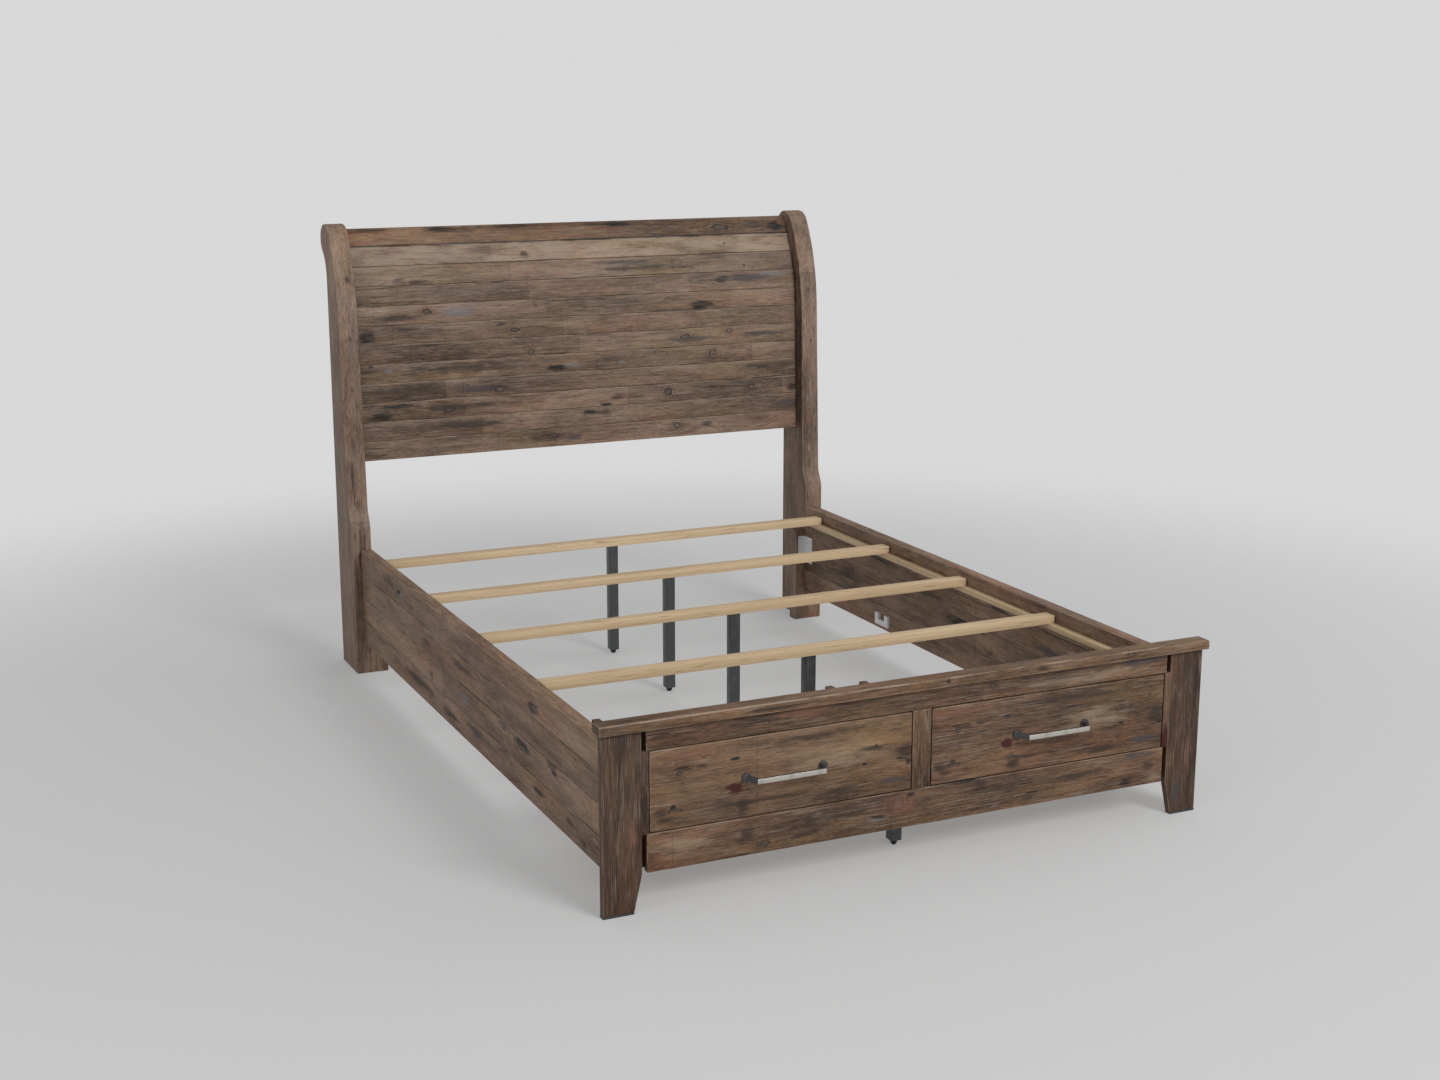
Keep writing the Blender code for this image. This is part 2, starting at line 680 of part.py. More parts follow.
def drawer(side_name, side):
    height = (DRAWER_BOTTOM + DRAWER_TOP) / 2
    origin = empty(f"drawer_{side_name}", (side * DRAWER_MIDDLE, 0, height), bed)
    front = span(side, DRAWER_INNER, DRAWER_OUTER)
    box = span(side, BOX_INNER, BOX_OUTER)
    name = f"drawer_{side_name}"
    board(
        f"{name}_front",
        front,
        (0, FACE_THICKNESS),
        (DRAWER_BOTTOM, DRAWER_TOP),
        drawer_wood,
        parent=origin,
    )
    drawer_side(f"{name}_wall_left", box[0], 1, origin)
    drawer_side(f"{name}_wall_right", box[1], -1, origin)
    back_y = DRAWER_BOX_BACK_Y - DRAWER_BACK_INSET
    inside = (box[0] + DRAWER_WALL + GAP, box[1] - DRAWER_WALL - GAP)
    board(
        f"{name}_back",
        inside,
        (back_y - DRAWER_BACK_THICKNESS, back_y),
        (FLOOR_BOTTOM + DRAWER_FLOOR + GAP, DRAWER_BOX_TOP - DRAWER_BACK_DROP),
        drawer_wood,
        ease=0,
        parent=origin,
    )
    in_groove = DRAWER_GROOVE - 2 * GAP
    board(
        f"{name}_floor",
        (inside[0] - in_groove, inside[1] + in_groove),
        (FACE_THICKNESS + GAP, back_y),
        (FLOOR_BOTTOM, FLOOR_BOTTOM + DRAWER_FLOOR),
        pine,
        ease=0,
        parent=origin,
    )
    pull(f"{name}_pull", 0, origin)


def runner(name, box_face, away, start):
    """An L-shaped wooden runner: a ledge under the drawer wall and a lip beside it."""
    lip = box_face + away * RUNNER_PLAY
    outer = lip + away * RUNNER_LIP
    under = box_face - away * RUNNER_UNDER
    points = [
        (under, RUNNER_BOTTOM),
        (outer, RUNNER_BOTTOM),
        (outer, RUNNER_BOTTOM + RUNNER_LEDGE + RUNNER_LIP_HEIGHT),
        (lip, RUNNER_BOTTOM + RUNNER_LEDGE + RUNNER_LIP_HEIGHT),
        (lip, RUNNER_BOTTOM + RUNNER_LEDGE),
        (under, RUNNER_BOTTOM + RUNNER_LEDGE),
    ]
    length = BACK_RAIL_Y + BACK_RAIL_THICKNESS - start
    place(outline(name, points, length), pine, (0, start + length / 2, 0), TURN_XZ)


def drawers():
    for side_name, side in SIDES:
        drawer(side_name, side)
        behind = FACE_THICKNESS + GAP
        runner(f"drawer_runner_{side_name}_inner", side * BOX_INNER, -side, behind)
        runner(f"drawer_runner_{side_name}_outer", side * BOX_OUTER, side, behind + STILE_TENON)
    board(
        "drawer_back_rail",
        (-(RAIL_INNER - 2 * GAP), RAIL_INNER - 2 * GAP),
        (BACK_RAIL_Y, BACK_RAIL_Y + BACK_RAIL_THICKNESS),
        (BACK_RAIL_BOTTOM, BACK_RAIL_TOP),
        pine,
        ease=0,
    )


# ---- steel fittings --------------------------------------------------------------------------
def hanger(name, side, middle):
    """An open-topped U on the rail's inner face, into which a cross rail drops."""
    slot = BACK_RAIL_THICKNESS / 2 + GAP
    edge = slot + HANGER_PRONG
    seat = HANGER_BOTTOM + HANGER_SEAT
    top = seat + HANGER_PRONG_HEIGHT
    points = [
        (-edge, HANGER_BOTTOM),
        (edge, HANGER_BOTTOM),
        (edge, top),
        (slot, top),
        (slot, seat),
        (-slot, seat),
        (-slot, top),
        (-edge, top),
    ]
    x = side * (RAIL_INNER - GAP - HANGER_THICKNESS / 2)
    place(outline(name, points, HANGER_THICKNESS), zinc_steel, (x, middle, 0), TURN_YZ)


def corner_bracket(name, side, wall_y, towards):
    """A steel angle in the corner between a rail and the piece that it butts."""
    corner_x = RAIL_INNER - GAP
    points = [
        (corner_x, wall_y),
        (corner_x, wall_y + towards * BRACKET_LONG),
        (corner_x - BRACKET_SHEET, wall_y + towards * BRACKET_LONG),
        (corner_x - BRACKET_SHEET, wall_y + towards * BRACKET_SHEET),
        (corner_x - BRACKET_SHORT, wall_y + towards * BRACKET_SHEET),
        (corner_x - BRACKET_SHORT, wall_y),
    ]
    height = BRACKET_TOP - BRACKET_HEIGHT / 2
    flat = outline(name, [(side * x, y) for x, y in points], BRACKET_HEIGHT)
    place(flat, zinc_steel, (0, 0, height))
    obj = as_mesh(flat)
    short_x = side * (corner_x - BRACKET_SHORT + 0.4 * BRACKET_SHORT)
    long_y = wall_y + towards * (BRACKET_LONG - BRACKET_HOLE_INSET)
    for end in (-1, 1):
        z = height + end * (BRACKET_HEIGHT / 2 - BRACKET_HOLE_INSET)
        radius = BRACKET_HOLE_RADIUS
        short_hole = rod(f"{name}_short_{end}", radius, 0.02, (short_x, wall_y, z), "Y", 12)
        long_hole = rod(f"{name}_long_{end}", radius, 0.02, (side * corner_x, long_y, z), "X", 12)
        combine(obj, short_hole, "DIFFERENCE")
        combine(obj, long_hole, "DIFFERENCE")


def fittings():
    for side_name, side in SIDES:
        corner_bracket(f"head_bracket_{side_name}", side, HEAD_Y - GAP, -1)
        corner_bracket(f"foot_bracket_{side_name}", side, STILE_DEPTH + GAP, 1)
        hanger(f"back_rail_hanger_{side_name}", side, BACK_RAIL_Y + BACK_RAIL_THICKNESS / 2)
        hanger(f"spare_hanger_{side_name}", side, HEAD_Y - HANGER_SPARE_INSET)


headboard()
side_rails()
slats_and_legs()
footboard()
drawers()
fittings()
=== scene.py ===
"""A queen-size storage bed frame in weathered softwood: sleigh headboard, planked side rails, pine
slats on square steel legs, and a footboard with two drawers. Run by Blender 4.5 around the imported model."""

import json
import math

import bpy
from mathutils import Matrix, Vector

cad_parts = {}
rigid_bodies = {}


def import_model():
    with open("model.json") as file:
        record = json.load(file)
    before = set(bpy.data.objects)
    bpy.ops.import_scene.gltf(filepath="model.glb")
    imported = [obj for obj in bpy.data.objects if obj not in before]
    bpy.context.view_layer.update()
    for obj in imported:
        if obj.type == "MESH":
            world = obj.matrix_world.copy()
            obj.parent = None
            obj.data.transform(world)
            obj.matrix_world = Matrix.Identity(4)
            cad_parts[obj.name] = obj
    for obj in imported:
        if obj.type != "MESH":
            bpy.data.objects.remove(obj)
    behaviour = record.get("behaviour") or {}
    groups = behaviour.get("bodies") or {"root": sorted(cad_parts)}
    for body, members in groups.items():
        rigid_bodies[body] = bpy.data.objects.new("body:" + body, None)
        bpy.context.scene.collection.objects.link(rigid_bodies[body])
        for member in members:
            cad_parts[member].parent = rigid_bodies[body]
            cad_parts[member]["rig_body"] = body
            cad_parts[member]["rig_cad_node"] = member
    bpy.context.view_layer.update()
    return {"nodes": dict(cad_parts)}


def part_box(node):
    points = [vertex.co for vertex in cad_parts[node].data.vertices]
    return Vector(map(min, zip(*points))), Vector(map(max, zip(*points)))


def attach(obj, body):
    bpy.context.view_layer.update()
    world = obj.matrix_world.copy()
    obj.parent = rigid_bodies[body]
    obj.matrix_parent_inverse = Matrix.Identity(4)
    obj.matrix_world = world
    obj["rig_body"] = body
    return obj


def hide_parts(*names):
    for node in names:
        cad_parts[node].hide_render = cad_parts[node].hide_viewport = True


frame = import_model()
nodes = frame["nodes"]


# ---- headboard posts ----------------------------------------------------------------------------
# Two upright boards of stained softwood, bandsawn to the sleigh curve and planed. The grain runs
# up the post. Their long edges are rounded over by hand, and handling has worn them paler.


def add(tree, kind, inputs=None, **settings):
    """One shader node. Its inputs are given by name or number, as a value or as another's socket."""
    made = tree.nodes.new(kind)
    for key, value in settings.items():
        setattr(made, key, value)
    for key, value in (inputs or {}).items():
        if isinstance(value, bpy.types.NodeSocket):
            tree.links.new(value, made.inputs[key])
        else:
            made.inputs[key].default_value = value
    return made


def math_node(tree, operation, a, b=0.0):
    return add(tree, "ShaderNodeMath", {0: a, 1: b}, operation=operation).outputs[0]


def times(tree, a, b):
    return math_node(tree, "MULTIPLY", a, b)


def vector_node(tree, operation, a, b=(0, 0, 0), output="Vector"):
    return add(tree, "ShaderNodeVectorMath", {0: a, 1: b}, operation=operation).outputs[output]


def stretch(tree, place, along, across):
    """The board's own place, drawn out along the grain."""
    return vector_node(tree, "MULTIPLY", place, (along, across, across))


def figure(tree, place, along, across, detail=3.0, roughness=0.55, shift=0.0):
    """A noise whose blots are long along the grain, `along` and `across` of them to the metre."""
    moved = vector_node(tree, "ADD", stretch(tree, place, along, across), (shift, shift * 0.7, shift * 1.3))
    values = {"Vector": moved, "Scale": 1.0, "Detail": detail, "Roughness": roughness}
    return add(tree, "ShaderNodeTexNoise", values).outputs["Fac"]


def ease_between(tree, value, low, high, to_low=0.0, to_high=1.0):
    values = {"Value": value, "From Min": low, "From Max": high, "To Min": to_low, "To Max": to_high}
    made = add(tree, "ShaderNodeMapRange", values, interpolation_type="SMOOTHSTEP")
    return made.outputs["Result"]


def blend_in(tree, amount, under, over, how="MIX"):
    made = add(tree, "ShaderNodeMix", data_type="RGBA", blend_type=how)
    for socket, value in ((0, amount), (6, under), (7, over)):
        if isinstance(value, bpy.types.NodeSocket):
            tree.links.new(value, made.inputs[socket])
        else:
            made.inputs[socket].default_value = value if socket == 0 else (*value, 1)
    return made.outputs[2]


def new_group(name, takes, gives):
    """An empty shader group with its sockets, and the values that it's given."""
    tree = bpy.data.node_groups.new(name, "ShaderNodeTree")
    for way, sockets in (("INPUT", takes), ("OUTPUT", gives)):
        for label, kind in sockets.items():
            tree.interface.new_socket(label, in_out=way, socket_type=f"NodeSocket{kind}")
    return tree, tree.nodes.new("NodeGroupInput").outputs


def give_back(tree, values):
    result = tree.nodes.new("NodeGroupOutput")
    for label, value in values.items():
        tree.links.new(value, result.inputs[label])
    return tree


STAVES_PER_METRE = 1.75
BLOOM = (0.150, 0.148, 0.152)
DUST = (0.290, 0.245, 0.205)
KNOT_RIM = (0.024, 0.017, 0.014)
KNOT_HEART = (0.120, 0.075, 0.050)
# the colour of the painted shade in the joints between boards
JOINT_PAINTED_SHADE = (0.020, 0.013, 0.010)
WORN_WOOD = (0.330, 0.255, 0.190)
JOINT_EDGE = 0.0026  # how far from the middle of a joint its painted shade shows, and where it is full
JOINT_FULL = 0.0008


def make_stained_board():
    """The stained softwood: place in metres with the grain along its first axis, and a number that
    stands for the board, in; colour, roughness and surface height out."""
    amounts = ("Board", "Tone", "Smudge", "Redness", "Grey", "Knots", "Wear", "End", "Seam")
    takes = {"Place": "Vector", "Stain": "Color", **dict.fromkeys(amounts, "Float")}
    gives = {"Colour": "Color", "Roughness": "Float", "Height": "Float", "Streaks": "Float"}
    tree, given = new_group("stained_board", takes, gives)
    board = given["Board"]
    steps = {i: times(tree, board, step) for i, step in enumerate((7.31, 3.17, 5.53))}
    shift = add(tree, "ShaderNodeCombineXYZ", steps).outputs[0]
    place = vector_node(tree, "ADD", given["Place"], shift)

    # Knots: the grain parts round each one.
    spread_out = {"Vector": stretch(tree, place, 4.6, 10.5), "Scale": 1.0, "Randomness": 0.9}
    cells = add(tree, "ShaderNodeTexVoronoi", spread_out)
    chance = add(tree, "ShaderNodeSeparateColor", {0: cells.outputs["Color"]})
    lacking = math_node(tree, "SUBTRACT", 1.0, given["Knots"])
    there = math_node(tree, "GREATER_THAN", chance.outputs[0], lacking)
    size = math_node(tree, "MULTIPLY_ADD", chance.outputs[1], 0.9)
    size.node.inputs[2].default_value = 0.55
    ragged = figure(tree, place, 30, 60, 2.0)
    spread = math_node(tree, "DIVIDE", cells.outputs["Distance"], size)
    away = math_node(tree, "ADD", spread, times(tree, ragged, 0.07))
    core = times(tree, ease_between(tree, away, 0.13, 0.085), there)
    heart = times(tree, ease_between(tree, away, 0.085, 0.05), there)
    halo = times(tree, ease_between(tree, away, 0.42, 0.10), there)
    bend = add(tree, "ShaderNodeCombineXYZ", {"Y": times(tree, halo, 0.016)})
    grain = vector_node(tree, "ADD", place, bend.outputs[0])

    # Staves: the boards are glued up end to end, and each length took the stain its own way.
    run = add(tree, "ShaderNodeSeparateXYZ", {0: place}).outputs["X"]
    stave = times(tree, run, STAVES_PER_METRE)
    whole = math_node(tree, "FLOOR", stave)
    number = add(tree, "ShaderNodeCombineXYZ", {"X": whole, "Y": board}).outputs[0]
    lot = add(tree, "ShaderNodeTexWhiteNoise", {"Vector": number}).outputs["Value"]
    butt = ease_between(tree, math_node(tree, "FRACT", stave), 0.0030, 0.0012)

    broad = figure(tree, place, 1.6, 8.0, 4.0, 0.62, 2.0)
    mottle = figure(tree, grain, 10.0, 44.0, 7.0, 0.74, 4.0)
    bands = figure(tree, grain, 2.8, 50.0, 6.0, 0.66, 5.0)
    streaks = figure(tree, grain, 26.0, 180.0, 6.0, 0.74, 8.0)
    fibres = figure(tree, grain, 80.0, 800.0, 3.0, 0.6, 11.0)
    tone = math_node(tree, "ADD", given["Tone"], 0.5)
    weights = ((broad, 1.35), (mottle, 0.85), (bands, 0.50), (streaks, 0.90), (fibres, 0.95), (lot, 0.17))
    for share, weight in weights:
        offset = math_node(tree, "SUBTRACT", share, 0.5)
        tone = math_node(tree, "ADD", tone, times(tree, offset, weight))
    ramp = add(tree, "ShaderNodeValToRGB", {0: tone})
    stops = (
        (0.0, (0.034, 0.020, 0.013)),
        (0.28, (0.098, 0.060, 0.039)),
        (0.50, (0.168, 0.108, 0.073)),
        (0.72, (0.236, 0.159, 0.110)),
        (1.0, (0.330, 0.238, 0.172)),
    )
    ramp.color_ramp.elements.remove(ramp.color_ramp.elements[1])
    ramp.color_ramp.elements[0].color = (*stops[0][1], 1)
    for position, colour in stops[1:]:
        ramp.color_ramp.elements.new(position).color = (*colour, 1)
    colour = blend_in(tree, 1.0, ramp.outputs["Color"], given["Stain"], "MULTIPLY")

    # Stain that took redder, a blue-grey bloom, and dark smudges where it pooled.
    red = ease_between(tree, figure(tree, place, 2.0, 9.0, 2.0, 0.5, 37.0), 0.50, 0.68)
    colour = blend_in(tree, times(tree, red, given["Redness"]), colour, (1.18, 0.84, 0.70), "MULTIPLY")
    olive = ease_between(tree, figure(tree, place, 2.6, 10.0, 2.0, 0.5, 53.0), 0.48, 0.66)
    colour = blend_in(tree, times(tree, olive, 0.7), colour, (0.92, 0.92, 0.72), "MULTIPLY")
    grey = ease_between(tree, figure(tree, place, 3.4, 13.0, 3.0, 0.6, 23.0), 0.58, 0.74)
    colour = blend_in(tree, times(tree, grey, given["Grey"]), colour, BLOOM)
    pooled = ease_between(tree, figure(tree, grain, 2.4, 15.0, 6.0, 0.66, 17.0), 0.55, 0.74)
    smudge = times(tree, pooled, given["Smudge"])
    colour = blend_in(tree, smudge, colour, (0.20, 0.17, 0.16), "MULTIPLY")
    dust = ease_between(tree, figure(tree, grain, 12.0, 330.0, 5.0, 0.62, 61.0), 0.53, 0.68)
    colour = blend_in(tree, times(tree, dust, 0.40), colour, DUST)

    # The dark knots, the drying checks along the grain, and the butt joints.
    colour = blend_in(tree, times(tree, halo, 0.55), colour, (0.55, 0.47, 0.42), "MULTIPLY")
    colour = blend_in(tree, times(tree, core, 0.85), colour, KNOT_RIM)
    colour = blend_in(tree, times(tree, heart, 0.55), colour, KNOT_HEART)
    check = ease_between(tree, figure(tree, grain, 7.0, 300.0, 4.0, 0.55, 29.0), 0.61, 0.68)
    colour = blend_in(tree, times(tree, check, 0.75), colour, (0.22, 0.18, 0.16), "MULTIPLY")
    colour = blend_in(tree, times(tree, butt, 0.35), colour, (0.20, 0.18, 0.17), "MULTIPLY")

    # Painted shade that darkens the joints between boards, patchy along them.
    patchy_shade = ease_between(tree, figure(tree, place, 5.0, 20.0, 3.0, 0.6, 71.0), 0.36, 0.60, 0.22, 1.0)
    joint_shade = times(tree, patchy_shade, given["Seam"])
    colour = blend_in(tree, times(tree, joint_shade, 0.75), colour, JOINT_PAINTED_SHADE)

    # Worn edges, and thirsty end grain.
    rubbed = ease_between(tree, figure(tree, place, 9.0, 30.0, 4.0, 0.6, 41.0), 0.36, 0.62)
    worn = times(tree, rubbed, given["Wear"])
    colour = blend_in(tree, times(tree, worn, 0.62), colour, WORN_WOOD)
    colour = blend_in(tree, times(tree, given["End"], 0.55), colour, (0.42, 0.38, 0.36), "MULTIPLY")

    # The relief: raised grain, less what is sunk.
    height = times(tree, bands, 0.35)
    for relief, depth in ((streaks, 0.5), (fibres, 0.35), (check, -0.7), (core, -0.5), (butt, -0.7)):
        height = math_node(tree, "ADD", height, times(tree, relief, depth))
    uneven = ease_between(tree, figure(tree, grain, 12.0, 95.0, 5.0, 0.7, 67.0), 0.34, 0.54, 0.48, 1.0)
    sheen = math_node(tree, "MULTIPLY_ADD", streaks, 0.22)
    sheen.node.inputs[2].default_value = 0.50
    sheen = math_node(tree, "ADD", sheen, times(tree, smudge, -0.08))
    return give_back(tree, {"Colour": colour, "Roughness": sheen, "Height": height, "Streaks": uneven})


def make_blemish():
    """How far inside one soft-edged, ragged oval on a board's face a place is, from 0 to 1."""
    takes = {"Place": "Vector", "Centre": "Vector", "Size": "Vector", "Edge": "Float"}
    tree, given = new_group("blemish", takes, {"Inside": "Float", "Ring": "Float", "Halo": "Float"})
    drawn = stretch(tree, given["Place"], 18.0, 70.0)
    values = {"Vector": drawn, "Scale": 1.0, "Detail": 5.0, "Roughness": 0.65}
    ragged = add(tree, "ShaderNodeTexNoise", values).outputs["Color"]
    centred = vector_node(tree, "SUBTRACT", ragged, (0.5, 0.5, 0.5))
    wander = vector_node(tree, "MULTIPLY", centred, (2.6, 2.6, 0))
    offset = vector_node(tree, "SUBTRACT", given["Place"], given["Centre"])
    shares = vector_node(tree, "DIVIDE", offset, given["Size"])
    flat = vector_node(tree, "MULTIPLY", shares, (1, 1, 0))
    away = vector_node(tree, "LENGTH", vector_node(tree, "ADD", flat, wander), output="Value")
    inside = ease_between(tree, away, 1.35, 0.35)
    tree.links.new(given["Edge"], inside.node.inputs["From Max"])
    ring = ease_between(tree, math_node(tree, "SINE", times(tree, away, 8.0)), -0.4, 0.9)
    return give_back(tree, {"Inside": inside, "Ring": ring, "Halo": ease_between(tree, away, 3.4, 0.9)})


stained_board = make_stained_board()
blemish = make_blemish()
GRAIN_ORDER = {"X": "XZY", "Y": "YZX", "Z": "ZXY"}  # along the grain, across the face, through the board
BLEMISHES = {  # colour under it, how strongly, how soft its edge is
    "dark": ((0.013, 0.010, 0.008), 1.0, 0.50),
    "smudge": ((0.032, 0.020, 0.013), 0.88, 0.35),
    "grey": ((0.150, 0.147, 0.150), 0.72, 0.30),
    "purple": ((0.050, 0.042, 0.044), 0.90, 0.40),
    "red": ((0.190, 0.085, 0.052), 0.62, 0.30),
    "pale": ((0.330, 0.240, 0.165), 0.50, 0.20),
    "wine": ((0.042, 0.004, 0.003), 0.97, 0.80),
}


def new_finish(name):
    """A fresh material, its node tree and its surface."""
    made = bpy.data.materials.new(name)
    made.use_nodes = True
    return made, made.node_tree, made.node_tree.nodes["Principled BSDF"]


def along_grain(tree, grain):
    """Where a point lies on its object, by axis, and the same with the grain along the first axis."""
    lies = add(tree, "ShaderNodeTexCoord").outputs["Object"]
    where = add(tree, "ShaderNodeSeparateXYZ", {0: lies}).outputs
    turned = {i: where[axis] for i, axis in enumerate(GRAIN_ORDER[grain])}
    return where, add(tree, "ShaderNodeCombineXYZ", turned).outputs[0]


def coat(tree, shader, colour, height, strength, depth):
    """Gives a surface its colour and its relief."""
    bump = add(tree, "ShaderNodeBump", {"Height": height, "Strength": strength, "Distance": depth})
    tree.links.new(colour, shader.inputs["Base Color"])
    tree.links.new(bump.outputs["Normal"], shader.inputs["Normal"])


def stained_wood(
    name, grain, board, tone, smudge, redness, grey, knots, marks=(), square=True, seams=(), tint=(1, 1, 1)
):
    """A board's own material. Marks are (along, across, half length, half width, kind), on its face.
    A board that isn't square leans or curves, so a facet that leans isn't taken for a worn edge."""
    made, tree, shader = new_finish(name)
    where, place = along_grain(tree, grain)

    # An edge's facet faces two ways at once, and a cut end faces along the grain.
    facing = add(tree, "ShaderNodeNewGeometry").outputs["True Normal"]
    ways = add(tree, "ShaderNodeSeparateXYZ", {0: vector_node(tree, "ABSOLUTE", facing)}).outputs
    pairs = ("XY", "XZ", "YZ") if square else ("XY", "XZ")
    wear = 0.0
    for a, b in pairs:
        wear = math_node(tree, "ADD", times(tree, ways[a], ways[b]), wear)
    wear = ease_between(tree, wear, 0.22, 0.42)
    end = ease_between(tree, ways[grain], 0.80, 0.92) if square else 0.0
    # painted shade close to each joint listed in seams, full at the middle of the joint
    seam_shade = 0.0
    for edge in seams:
        beside = math_node(tree, "ABSOLUTE", math_node(tree, "SUBTRACT", where[GRAIN_ORDER[grain][1]], edge))
        seam_shade = math_node(tree, "ADD", seam_shade, ease_between(tree, beside, JOINT_EDGE, JOINT_FULL))
    values = {"Place": place, "Board": board, "Tone": tone, "Smudge": smudge, "Redness": redness}
    values.update({"Grey": grey, "Knots": knots, "Wear": wear, "End": end, "Seam": seam_shade})
    wood = add(tree, "ShaderNodeGroup", node_tree=stained_board)
    wood.inputs["Stain"].default_value = (*tint, 1)
    for key, value in values.items():
        if isinstance(value, bpy.types.NodeSocket):
            tree.links.new(value, wood.inputs[key])
        else:
            wood.inputs[key].default_value = value
    colour = wood.outputs["Colour"]
    for along, across, half_length, half_width, kind in marks:
        spot = add(tree, "ShaderNodeGroup", node_tree=blemish)
        tree.links.new(place, spot.inputs["Place"])
        spot.inputs["Centre"].default_value = (along, across, 0)
        spot.inputs["Size"].default_value = (half_length, half_width, 1)
        if kind in ("eye", "knot"):
            spot.inputs["Edge"].default_value = 0.55
            inside = spot.outputs["Inside"]
            rings = times(tree, spot.outputs["Ring"], spot.outputs["Halo"])
            colour = blend_in(tree, times(tree, rings, 0.75), colour, (0.40, 0.32, 0.27), "MULTIPLY")
            rim = ease_between(tree, inside, 0.05, 0.55)
            colour = blend_in(tree, times(tree, rim, 0.90), colour, (0.022, 0.015, 0.012))
            clear = 0.55 if kind == "eye" else 0.25
            centre = times(tree, ease_between(tree, inside, 0.80, 1.0), clear)
            colour = blend_in(tree, centre, colour, (0.190, 0.150, 0.120))
            continue
        under, strength, edge = BLEMISHES[kind]
        spot.inputs["Edge"].default_value = edge
        amount = times(tree, spot.outputs["Inside"], strength)
        if kind != "wine":
            amount = times(tree, amount, wood.outputs["Streaks"])
        colour = blend_in(tree, amount, colour, under)
    coat(tree, shader, colour, wood.outputs["Height"], 0.75, 0.0011)
    tree.links.new(wood.outputs["Roughness"], shader.inputs["Roughness"])
    shader.inputs["Specular IOR Level"].default_value = 0.35
    return made


def only(obj):
    """Deselects everything but this one object."""
    bpy.ops.object.select_all(action="DESELECT")
    obj.select_set(True)
    bpy.context.view_layer.objects.active = obj


def rough_out(node, name):
    """A workpiece the size and shape of a CAD node, its loose triangles joined into clean faces."""
    only(nodes[node])
    bpy.ops.object.duplicate()
    piece = bpy.context.object
    piece.name = name
    piece.data.name = name
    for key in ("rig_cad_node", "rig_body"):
        if key in piece:
            del piece[key]
    piece.parent = None
    bpy.ops.object.mode_set(mode="EDIT")
    bpy.ops.mesh.select_all(action="SELECT")
    bpy.ops.mesh.remove_doubles(threshold=0.00005)
    bpy.ops.mesh.dissolve_limited(angle_limit=math.radians(0.6))
    bpy.ops.object.mode_set(mode="OBJECT")
    return piece


def ease_edges(piece, width, segments=2, from_angle=40):
    """Rounds over every edge sharper than an angle, and shades the round ones smooth."""
    only(piece)
    bevel = piece.modifiers.new("eased", "BEVEL")
    bevel.width = width
    bevel.segments = segments
    bevel.limit_method = "ANGLE"
    bevel.angle_limit = math.radians(from_angle)
    bevel.use_clamp_overlap = True
    bpy.ops.object.modifier_apply(modifier=bevel.name)
    bpy.ops.object.shade_smooth_by_angle(angle=math.radians(28))
    return piece


def fit(piece, material, body, slot, *stands_for):
    """Finishes a piece, fixes it to its moving or standing part, and hides the CAD nodes it stands for."""
    piece.data.materials.clear()
    piece.data.materials.append(material)
    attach(piece, body)
    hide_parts(*stands_for)
    return piece


POST_EDGE = 0.004
post_marks = {
    "left": (
        (1.245, -0.795, 0.016, 0.010, "smudge"),
        (0.905, -0.800, 0.006, 0.004, "eye"),
        (1.065, -0.800, 0.005, 0.004, "knot"),
        (0.640, -0.815, 0.050, 0.006, "smudge"),
        (0.330, -0.800, 0.180, 0.012, "smudge"),
        # a thin strip of painted shade where the planks meet the post
        (1.000, -0.771, 0.340, 0.003, "smudge"),
    ),
    "right": (
        (1.150, 0.800, 0.006, 0.004, "eye"),
        (0.975, 0.806, 0.005, 0.003, "dark"),
        (0.720, 0.796, 0.030, 0.009, "red"),
        (0.015, 0.800, 0.018, 0.030, "red"),
        # a thin strip of painted shade where the planks meet the post
        (1.000, 0.771, 0.340, 0.003, "smudge"),
    ),
}
for number, side in enumerate(("left", "right")):
    post = ease_edges(rough_out(f"headboard_post_{side}", f"post_{side}"), POST_EDGE, 3)
    name = f"post_wood_{side}"
    board = 2.2 + 1.7 * number
    wood = stained_wood(name, "Z", board, 0.13, 0.50, 0.25, 0.35, 0.10, post_marks[side], square=False)
    fit(post, wood, "frame", "stained_wood", f"headboard_post_{side}")


# ---- headboard blocks ---------------------------------------------------------------------------
# A short stained block is screwed to the inner face of each post, below the platform. The side
# rail's bracket is fixed to it.

for number, side in enumerate(("left", "right")):
    block = ease_edges(rough_out(f"headboard_block_{side}", f"post_block_{side}"), 0.002)
    wood = stained_wood(f"block_wood_{side}", "Z", 8.4 + number, -0.02, 0.7, 0.3, 0.3, 0.1)
    fit(block, wood, "frame", "stained_wood", f"headboard_block_{side}")


# ---- headboard planks ---------------------------------------------------------------------------
# Narrow planks lie edge to edge between the posts and follow the lean of their fronts. They are
# stained softwood, with knots, pooled stain and a blue-grey bloom, and no two sit quite flush.

